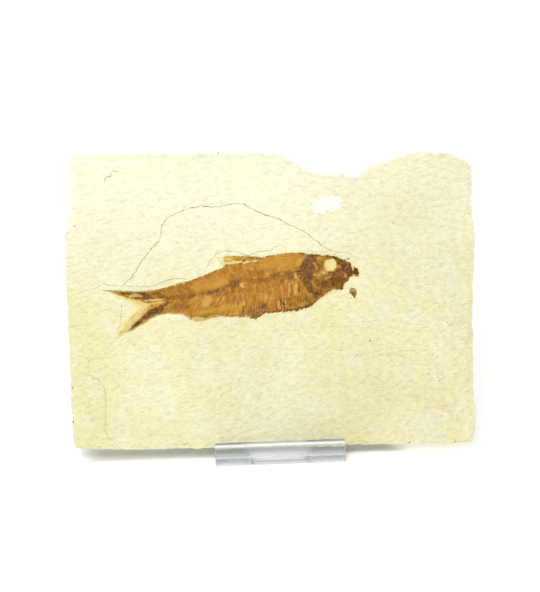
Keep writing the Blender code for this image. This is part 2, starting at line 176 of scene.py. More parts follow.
def fillLoop(loop, points):
    # triangles inside the loop, through the points; corners are numbered loop first
    flat = np.vstack((loop, points)) if len(points) else loop
    sides = [(i, (i + 1) % len(loop)) for i in range(len(loop))]
    places = [Vector(p) for p in flat.tolist()]
    corners, _, faces, origins, _, _ = delaunay_2d_cdt(places, sides, [], 1, 1e-6)
    extra = [i for i, origin in enumerate(origins) if not origin]  # where the rough edge crosses itself
    number = {i: origin[0] for i, origin in enumerate(origins) if origin}
    number.update({i: len(flat) + k for k, i in enumerate(extra)})
    flat = np.vstack((flat, [tuple(corners[i]) for i in extra])) if extra else flat
    return flat, [[number[i] for i in face] for face in faces]


def closeBelow(edge, flat, height, faces, depth):
    # a relief with its wall and its flat base, as points and faces
    base, baseFaces = fillLoop(edge, [])
    floor = np.column_stack((base, np.full(len(base), -depth)))
    points = np.vstack((np.column_stack((flat, height)), floor))
    first, count = len(flat), len(edge)
    walls = [(i, first + i, first + (i + 1) % count, (i + 1) % count) for i in range(count)]
    return onSlab(points), faces + walls + [[first + i for i in reversed(face)] for face in baseFaces]


def addObject(name, mesh):
    made = bpy.data.objects.new(name, mesh)
    bpy.context.scene.collection.objects.link(made)
    return made


def setField(mesh, name, values):
    # a number or a vector on every corner of a mesh, for its material or its tree to read
    kind, entry = ("FLOAT", "value") if np.ndim(values) == 1 else ("FLOAT_VECTOR", "vector")
    mesh.attributes.new(name, kind, "POINT").data.foreach_set(entry, np.asarray(values, np.float32).ravel())


def ridePiece(made):
    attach(made, "root")
    print(made.name, len(made.data.polygons), "faces")
    return made


def makePiece(name, points, faces, material, fields):
    mesh = bpy.data.meshes.new(name)
    mesh.from_pydata(points.tolist(), [], faces)
    mesh.polygons.foreach_set("use_smooth", [True] * len(mesh.polygons))
    mesh.set_sharp_from_angle(angle=math.radians(50))
    mesh.materials.append(material)
    for field, values in fields.items():
        setField(mesh, field, values)
    return ridePiece(addObject(name, mesh))


def tint(hexText, share=1.0):
    # an sRGB hex colour as linear light, a share of its full brightness
    channels = [int(hexText[i:i + 2], 16) / 255 for i in (1, 3, 5)]
    return (*(share * (c / 12.92 if c <= 0.04045 else ((c + 0.055) / 1.055) ** 2.4) for c in channels), 1.0)


def addNode(tree, kind, values=None, **settings):
    node = tree.nodes.new(kind)
    for name, value in settings.items():
        setattr(node, name, value)
    for socket, value in (values or {}).items():
        if isinstance(value, bpy.types.NodeSocket):
            tree.links.new(value, node.inputs[socket])
        else:
            node.inputs[socket].default_value = value
    return node


def newMaterial(name):
    material = bpy.data.materials.new(name)
    material.use_nodes = True
    tree = material.node_tree
    return material, tree, tree.nodes["Principled BSDF"]


# Laminated micrite limestone, split along its bedding: matt, chalky cream with warm stains.
# Its real grain is finer than 0.1 mm, so the grain and the pits are drawn coarser, to show at all.
limestoneLook = {
    "pale": "#FAF7CD", "warm": "#F4EDB9", "cool": "#F8F6DC", "share": 0.755,
    # the palest cream here is painted light, laid on paler toward the top left
    "paintedTopLeftLight": "#FCFADC", "stain": "#ECC9A4", "halo": "#F4E58E", "scrapeAndEdgeLight": "#FFFFF6", "scrapeAndEdgeLightShare": 0.8,
    "stainSize": 34.0, "patchSize": 9.0, "grainSize": 0.8, "pitSize": 0.45, "shift": (0.57, 0.13, 0.0),
    "ripple": (3.0, 1.5, 1.5), "rippleTurn": 12.0, "rippleDark": 0.08, "rippleDeep": 1.5,
    "bed": 0.5, "bedDark": 0.03, "worn": 0.65, "ior": 1.5, "specular": 0.15,
}


def makeLimestone():
    look = limestoneLook
    material, tree, surface = newMaterial("laminated_micrite_limestone")
    place = addNode(tree, "ShaderNodeTexCoord").outputs["Object"]
    moved = addNode(tree, "ShaderNodeMapping", {"Vector": place, "Location": look["shift"]})
    broad = addNode(tree, "ShaderNodeTexNoise", {
        "Vector": moved.outputs[0], "Scale": 1 / (look["stainSize"] * mm), "Detail": 3.0})
    patch, grain = (addNode(tree, "ShaderNodeTexNoise", {
        "Vector": place, "Scale": 1 / (look[size] * mm), "Detail": detail,
    }).outputs["Fac"] for size, detail in (("patchSize", 4.0), ("grainSize", 3.0)))
    pits = addNode(tree, "ShaderNodeTexVoronoi", {"Vector": place, "Scale": 1 / (look["pitSize"] * mm)})

    # warm, pale and cool areas, then painted light paling the top left, the stained places, and the scraped
    # places with painted highlights along the upper and left edges
    base = tint(look["pale"], look["share"])
    for colour, fac, low, high, most in (
        ("warm", broad.outputs["Fac"], 0.35, 0.65, 1.0), ("cool", patch, 0.5, 0.72, 0.6),
    ):
        area = addNode(tree, "ShaderNodeMapRange", {
            "Value": fac, "From Min": low, "From Max": high, "To Max": most})
        base = addNode(tree, "ShaderNodeMix", {
            "Factor": area.outputs[0], 6: base, 7: tint(look[colour], look["share"]),
        }, data_type="RGBA").outputs[2]
    torn = addNode(tree, "ShaderNodeMath", {0: grain, 1: -0.5}, operation="ADD")
    for field, ragged in (("paintedTopLeftLight", 0.3), ("stain", 0.6), ("halo", 1.4), ("scrapeAndEdgeLight", 1.2)):
        amount = addNode(tree, "ShaderNodeAttribute", attribute_name=field)
        edged = addNode(tree, "ShaderNodeMath", {
            0: torn.outputs[0], 1: ragged, 2: amount.outputs["Fac"]}, operation="MULTIPLY_ADD")
        cover = addNode(tree, "ShaderNodeMapRange", {
            "Value": edged.outputs[0], "From Min": 0.2, "From Max": 0.9})
        share = look["scrapeAndEdgeLightShare"] if field == "scrapeAndEdgeLight" else look["share"]
        base = addNode(tree, "ShaderNodeMix", {
            "Factor": cover.outputs[0], 6: base, 7: tint(look[field], share)}, data_type="RGBA").outputs[2]

    # ripples of the split face, their dimples painted darker as painted shade, and thin beds that show on
    # the broken edges
    face = addNode(tree, "ShaderNodeAttribute", attribute_name="face").outputs["Vector"]
    laid = addNode(tree, "ShaderNodeMapping", {
        "Vector": face, "Rotation": (0.0, 0.0, math.radians(look["rippleTurn"])), "Scale": look["ripple"],
    }, vector_type="TEXTURE")
    ripples = addNode(tree, "ShaderNodeTexNoise", {"Vector": laid.outputs[0], "Scale": 1.0, "Detail": 2.0})
    layered = addNode(tree, "ShaderNodeMapping", {"Vector": face, "Scale": (0.02, 0.02, 1 / look["bed"])})
    beds = addNode(tree, "ShaderNodeTexNoise", {"Vector": layered.outputs[0], "Scale": 1.0, "Detail": 2.0})
    dimpleShade, banded, speckle = (addNode(tree, "ShaderNodeMapRange", {
        "Value": fac, "From Min": low, "From Max": high, "To Min": least, "To Max": most,
    }).outputs[0] for fac, low, high, least, most in (
        (ripples.outputs["Fac"], 0.42, 0.72, 0.0, look["rippleDark"]),
        (beds.outputs["Fac"], 0.35, 0.65, -look["bedDark"], look["bedDark"]),
        (grain, 0.3, 0.7, 0.968, 1.02)))
    lit = addNode(tree, "ShaderNodeMath", {0: banded, 1: speckle}, operation="ADD")
    # painted shade: the ripple dimples are darkened in colour
    shade = addNode(tree, "ShaderNodeMath", {0: lit.outputs[0], 1: dimpleShade}, operation="SUBTRACT")
    colour = addNode(tree, "ShaderNodeVectorMath", {0: base, "Scale": shade.outputs[0]}, operation="SCALE")
    tree.links.new(colour.outputs[0], surface.inputs["Base Color"])
    dull = addNode(tree, "ShaderNodeMapRange", {"Value": patch, "To Min": 0.78, "To Max": 0.95})
    tree.links.new(dull.outputs[0], surface.inputs["Roughness"])
    surface.inputs["IOR"].default_value = look["ior"]
    surface.inputs["Specular IOR Level"].default_value = look["specular"]

    # the relief is softened where the painted light lies, toward the top left
    paintedLightAmount = addNode(tree, "ShaderNodeAttribute", attribute_name="paintedTopLeftLight")
    relief = addNode(tree, "ShaderNodeMapRange", {
        "Value": paintedLightAmount.outputs["Fac"], "To Min": 1.0, "To Max": look["worn"]})
    bump = None
    for height, strength, distance in (
        (ripples.outputs["Fac"], relief.outputs[0], -look["rippleDeep"]), (grain, 0.35, 0.12),
        (pits.outputs["Distance"], 0.25, 0.05),
    ):
        under = {"Normal": bump.outputs[0]} if bump else {}
        bump = addNode(tree, "ShaderNodeBump", {
            "Height": height, "Strength": strength, "Distance": distance * mm, **under})
    tree.links.new(bump.outputs[0], surface.inputs["Normal"])
    return material


# Fossil bone, stained brown by iron: a little glossier than the stone, streaked along its fibres.
# Real fibres are thinner than 0.1 mm, so the streaks are drawn coarser, to show at all.
boneLook = {
    "share": 0.72, "body": ("#D09638", "#A0661C"), "umber": "#673C10", "gold": "#D8A23A",
    "cream": "#F4E496", "olive": "#7A5C16", "rust": "#B4641C", "violet": "#835636", "pale": "#EBC276",
    "streak": (0.5, 3.2), "fleck": (0.4, 1.5), "fleckShift": (7.0, 3.0, 0.0), "fibre": 0.42, "mottle": 2.6,
    "ior": 1.55, "specular": 0.1,
}


def makeBone(name, depth=1.0, body=boneLook["body"]):
    look = boneLook
    material, tree, surface = newMaterial(name)
    place = addNode(tree, "ShaderNodeTexCoord").outputs["Object"]
    flow = addNode(tree, "ShaderNodeAttribute", attribute_name="flow").outputs["Vector"]
    mottle, fibre = (addNode(tree, "ShaderNodeTexNoise", {
        "Vector": place, "Scale": 1 / (look[size] * mm), "Detail": detail,
    }).outputs["Fac"] for size, detail in (("mottle", 4.0), ("fibre", 3.0)))
    drawn, finer = (addNode(tree, "ShaderNodeMapping", {
        "Vector": flow, "Location": shift, "Scale": (1 / look[size][0], 1 / look[size][1], 1.0),
    }).outputs[0] for size, shift in (("streak", (0.0, 0.0, 0.0)), ("fleck", look["fleckShift"])))
    streak = addNode(tree, "ShaderNodeTexNoise", {
        "Vector": drawn, "Scale": 1.0, "Detail": 3.0, "Roughness": 0.6})
    flecks = addNode(tree, "ShaderNodeTexNoise", {"Vector": finer, "Scale": 1.0, "Detail": 2.0})
    speck = addNode(tree, "ShaderNodeMath", {0: fibre, 1: 0.3}, operation="MULTIPLY")
    grain = addNode(tree, "ShaderNodeMath", {
        0: streak.outputs["Fac"], 1: 0.7, 2: speck.outputs[0]}, operation="MULTIPLY_ADD").outputs[0]
    uneven = addNode(tree, "ShaderNodeMath", {0: mottle, 1: 0.8, 2: grain}, operation="MULTIPLY_ADD")
    blend = addNode(tree, "ShaderNodeMapRange", {
        "Value": uneven.outputs[0], "From Min": 0.72, "From Max": 1.08})
    base = addNode(tree, "ShaderNodeMix", {
        "Factor": blend.outputs[0],
        6: tint(body[0], look["share"] * depth), 7: tint(body[1], look["share"] * depth),
    }, data_type="RGBA").outputs[2]

    # each marking wears through along the grain; the pale flecks lie over them all
    torn = addNode(tree, "ShaderNodeMath", {0: grain, 1: 4.5, 2: -2.0}, operation="MULTIPLY_ADD")
    wear = addNode(tree, "ShaderNodeMath", {
        0: mottle, 1: 1.8, 2: torn.outputs[0]}, operation="MULTIPLY_ADD")
    bright = addNode(tree, "ShaderNodeMapRange", {
        "Value": flecks.outputs["Fac"], "From Min": 0.56, "From Max": 0.74})
    for field in ("gold", "rust", "olive", "violet", "umber", "pale", "cream", "fleck"):
        amount = addNode(tree, "ShaderNodeAttribute", attribute_name=field)
        colour, worn = (look["pale"], bright) if field == "fleck" else (look[field], wear)
        cover = addNode(tree, "ShaderNodeMath", {
            0: amount.outputs["Fac"], 1: worn.outputs[0]}, operation="MULTIPLY", use_clamp=True)
        base = addNode(tree, "ShaderNodeMix", {
            "Factor": cover.outputs[0], 6: base, 7: tint(colour, look["share"]),
        }, data_type="RGBA").outputs[2]
    speckle = addNode(tree, "ShaderNodeMapRange", {
        "Value": grain, "From Min": 0.35, "From Max": 0.65, "To Min": 1.15, "To Max": 0.86})
    colour = addNode(tree, "ShaderNodeVectorMath", {
        0: base, "Scale": speckle.outputs[0]}, operation="SCALE")
    tree.links.new(colour.outputs[0], surface.inputs["Base Color"])
    gloss = addNode(tree, "ShaderNodeMapRange", {"Value": mottle, "To Min": 0.4, "To Max": 0.7})
    tree.links.new(gloss.outputs[0], surface.inputs["Roughness"])
    surface.inputs["IOR"].default_value = look["ior"]
    surface.inputs["Specular IOR Level"].default_value = look["specular"]
    bump = addNode(tree, "ShaderNodeBump", {"Height": grain, "Strength": 0.8, "Distance": 0.25 * mm})
    tree.links.new(bump.outputs[0], surface.inputs["Normal"])
    return material


# Clear cast acrylic, laser cut and heat bent: water clear, with faint handling scratches
acrylicLook = {"colour": "#F8FBFF", "ior": 1.49, "scratch": 5.0, "clear": 0.96, "rough": (0.1, 0.18)}


def makeAcrylic():
    look = acrylicLook
    material, tree, surface = newMaterial("clear_cast_acrylic")
    place = addNode(tree, "ShaderNodeTexCoord").outputs["Object"]
    surface.inputs["Base Color"].default_value = tint(look["colour"])
    surface.inputs["Transmission Weight"].default_value = look["clear"]
    surface.inputs["IOR"].default_value = look["ior"]
    haze = addNode(tree, "ShaderNodeTexNoise", {
        "Vector": place, "Scale": 1 / (look["scratch"] * mm), "Detail": 4.0})
    rub = addNode(tree, "ShaderNodeMapRange", {
        "Value": haze.outputs["Fac"], "From Min": 0.3, "From Max": 0.75,
        "To Min": look["rough"][0], "To Max": look["rough"][1]})
    tree.links.new(rub.outputs[0], surface.inputs["Roughness"])
    bump = addNode(tree, "ShaderNodeBump", {
        "Height": haze.outputs["Fac"], "Strength": 0.05, "Distance": 0.1 * mm})
    tree.links.new(bump.outputs[0], surface.inputs["Normal"])
    return material


def makeMineral(name, dark, pale, share, scale, rough):
    # a plain mineral, mottled between two colours
    material, tree, surface = newMaterial(name)
    place = addNode(tree, "ShaderNodeTexCoord").outputs["Object"]
    mottle = addNode(tree, "ShaderNodeTexNoise", {"Vector": place, "Scale": scale})
    mixed = addNode(tree, "ShaderNodeMix", {
        "Factor": mottle.outputs["Fac"], 6: tint(dark, share), 7: tint(pale, share)}, data_type="RGBA")
    tree.links.new(mixed.outputs[2], surface.inputs["Base Color"])
    surface.inputs["Roughness"].default_value = rough
    return material


limestone = makeLimestone()
bone = makeBone("iron_stained_fossil_bone")
darkBone = makeBone("dark_fossil_bone", 0.93)
acrylic = makeAcrylic()
print("materials made")

slabLook = {
    "gridStep": 0.52, "edgeStep": 0.55, "backStep": 1.8, "edgeRough": 0.28,
    "swell": (17.0, 0.12), "pebble": (1.5, 0.32), "grain": (0.8, 0.1), "pocket": 0.55,
    "scarAt": (20.4, 87.5), "scarRadius": 4.6, "scarDeep": 0.3, "chip": 0.5,
    "bedDepths": (0.45, 0.9, 1.6, 2.5, 2.65, 3.4, 4.4, 5.3, 5.45, 6.3, 7.2, 8.0), "bedBack": 0.55,
}
scrapesAndEdgeLight = (  # stone scratched white, and painted highlights down the left edge: (reach, feather, strength, points) on the slab's face
    # the strokes near u = -76 are painted highlights along the left edge, widest at the top left
    (1.2, 3.4, 0.85, ((18.2, 87.5), (22.8, 88.0))), (1.2, 4.0, 0.75, ((-75.5, 109.0), (-75.8, 84.0))),
    (0.2, 0.7, 0.4, ((-76.0, 84.0), (-76.1, 63.5), (-75.9, 5.0))), (0.4, 0.8, 0.35, ((62.2, 42.4),)),
    (0.5, 0.8, 0.5, ((-16.6, 20.0),)),
)
stains = (
    (1.6, 3.0, 0.3, ((56.0, 13.3), (60.5, 12.4))), (0.4, 0.8, 0.5, ((52.0, 19.6),)),
    (0.4, 0.8, 0.5, ((-17.3, 21.8),)),
)
haloStrokes = (  # yellow stain round the bones, in the fish's frame
    (0.6, 1.6, 0.2, ((67.5, 6.4), (80.0, 6.6))),
    (0.5, 1.4, 0.75, ((79.0, 0.2), (81.6, 0.6), (84.6, 2.8), (88.0, 4.9))),
    (0.5, 1.4, 0.75, ((79.4, -0.9), (82.0, -2.2), (85.0, -4.4), (87.6, -6.6))),
    (0.4, 1.7, 0.5, ((10.0, -5.6), (13.6, -6.5), (17.6, -8.5))),
    (0.3, 1.0, 0.6, ((45.0, -9.2), (52.0, -8.6), (62.0, -7.8))),
)
bareStrokes = ((0.4, 1.9, 0.36, ((65.4, -6.6), (69.5, -5.7), (75.0, -5.3))),)  # paler stone under the tail


def paint(points, strokes, wander=0.0, seed=1.0):
    # soft brush strokes as a mask from 0 to 1
    loose = bumps(points, 1.3, seed, 2) * wander if wander else 0.0
    mask = np.zeros(len(points))
    for reach, feather, strength, line in strokes:
        away = distanceTo(points, line) + loose
        mask = np.maximum(mask, strength * (1.0 - smooth(reach, reach + feather, away)))
    return mask


outlineLoop = rimLoops(
    "slab", lambda facing, n: facing > 0.6 and n.min() > -1.3 and abs(n + 0.8).max() > 0.01)[0]
fishLoop = rimLoops("fish", lambda facing, n: facing < -0.9)[0]
flakeLoop = rimLoops("loose_bone_flake", lambda facing, n: facing < -0.9)[0]
fishShape = toFish(fishLoop)
pebbleSlant = np.array(((0.98, -0.17), (0.17, 0.98)))


def slabHeight(points, toEdge):
    look = slabLook
    height = look["swell"][1] * bumps(points, look["swell"][0], 3.0)
    soften = 0.75 + 0.25 * bumps(points, 30.0, 9.0)
    tilted = points @ pebbleSlant  # the pebbles are wider than they are tall and slant a little
    height += soften * look["pebble"][1] * bumps(tilted, look["pebble"][0], 5.0, 2, (1.6, 1.0))
    height += look["grain"][1] * bumps(tilted, look["grain"][0], 6.0, 1, (1.4, 1.0))
    offScar = np.hypot(points[:, 0] - look["scarAt"][0], (points[:, 1] - look["scarAt"][1]) * 1.3)
    offScar += 1.1 * bumps(points, 2.6, 12.0, 2)
    height -= look["scarDeep"] * (1.0 - smooth(look["scarRadius"] * 0.6, look["scarRadius"], offScar))
    crumble = np.maximum(0.0, 0.5 + bumps(points, 9.0, 8.0)) + 0.25 * bumps(points, 2.0, 14.0, 2)
    height -= look["chip"] * crumble * (1.0 - smooth(0.2, 2.2, toEdge))
    return height


def edgeRings(edge, rimHeight):
    # the broken edge, bed by bed from the face to the back, as (outline, level) rings
    look = slabLook
    normals = loopNormals(edge)
    rings = []
    for k, depth in enumerate(look["bedDepths"]):
        bed = 1.0 if depth < 2.6 else 2.0 if depth < 5.4 else 3.0
        rough = 0.5 + 0.5 * bumps(edge, 6.0, 20.0 * (bed - 1.0))
        torn = 0.22 * bumps(edge + 40.0 * depth, 1.8, 33.0, 2)
        back = look["bedBack"] * (0.2 + rough) * smooth(0.0, 1.2, depth) + torn * smooth(0.0, 0.8, depth)
        ring = edge - normals * np.maximum(back, min(0.14, depth))[:, None]
        # flat and square where it stands on the ledge
        flush = smooth(31.0, 26.0, np.abs(edge[:, 0])) * (edge[:, 1] < 5.0) * depth / placing["thick"]
        target = np.maximum(-0.25, -0.1 - (edge[:, 1] - ring[:, 1]))
        ring[:, 1] = ring[:, 1] * (1.0 - flush) + target * flush
        below = np.minimum(-depth, rimHeight - 0.06 * (k + 1))  # never above the rim
        rings.append((ring, below if depth < 4.0 else np.full(len(edge), -depth)))
    return rings


# where the stone is scraped or stained, and where light is painted on it: paler toward the top left and
# along the upper and left edges
def slabFields(points, front):
    # where the stone is scraped, stained or bleached
    places = toSlab(points)[:, :2]
    fishPlaces = toFish(places)
    bare = paint(fishPlaces, bareStrokes, 0.6)
    halo = paint(fishPlaces, haloStrokes, 0.5)
    offFish = distanceTo(fishPlaces, fishShape, True) + 0.4 * bumps(places, 1.6, 44.0, 2)
    rim = 0.75 * (1.0 - smooth(0.1, 1.5, offFish)) * (0.6 + 0.5 * bumps(places, 4.0, 45.0))
    offEdge = distanceTo(places, outlineLoop, True) + 0.5 * bumps(places, 2.4, 46.0, 2)
    # painted highlight: a pale strip along the upper edge, put in with the scrapes
    worn = 0.75 * (1.0 - smooth(0.1, 1.9, offEdge)) * smooth(80.0, 95.0, places[:, 1])
    worn *= 0.75 + 0.5 * bumps(places, 9.0, 47.0)
    return {
        "scrapeAndEdgeLight": np.maximum(np.maximum(paint(places, scrapesAndEdgeLight, 1.1), worn), bare) * front,
        "stain": paint(places, stains) * front,
        "halo": np.maximum(rim, halo) * front,
        # painted light: paler toward the top and toward the left
        "paintedTopLeftLight": smooth(30.0, 112.0, places[:, 1]) * (0.4 + 0.6 * smooth(80.0, -10.0, places[:, 0])),
        "face": toSlab(points),
    }


def buildSlab():
    look = slabLook
    edge = roughLoop(outlineLoop, look["edgeStep"], look["edgeRough"], 4.0, 21.0)
    flat, faces = fillLoop(edge, scatterInside(edge, look["gridStep"], 0.6, 3))
    inPocket = look["pocket"] * smooth(0.3, 0.9, distanceTo(flat, fishLoop, True))
    sunk = np.where(insideOf(flat, fishLoop), inPocket, 0.0)
    height = slabHeight(flat, distanceTo(flat, outlineLoop, True)) - sunk
    points = [np.column_stack((flat, height))]
    count, total = len(edge), len(flat)
    upper = np.arange(count)
    for ring, level in edgeRings(edge, height[:count]):
        points.append(np.column_stack((ring, level)))
        lower = np.arange(total, total + count)
        faces += np.column_stack((upper, lower, np.roll(lower, -1), np.roll(upper, -1))).tolist()
        upper, total = lower, total + count
    inner = scatterInside(ring, look["backStep"], 0.6, 5)
    backFaces = fillLoop(ring, inner)[1]
    backHeight = 0.12 * bumps(inner, 7.0, 41.0, 3) - placing["thick"] + 0.12
    points.append(np.column_stack((inner, backHeight)))
    numbers = [*upper.tolist(), *range(total, total + len(inner))]
    faces += [[numbers[i] for i in reversed(face)] for face in backFaces]
    points = np.vstack([onSlab(part) for part in points])
    fields = slabFields(points, np.arange(len(points)) < len(flat))
    return makePiece("limestoneSlab", points, faces, limestone, fields)


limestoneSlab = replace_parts(buildSlab(), "slab")

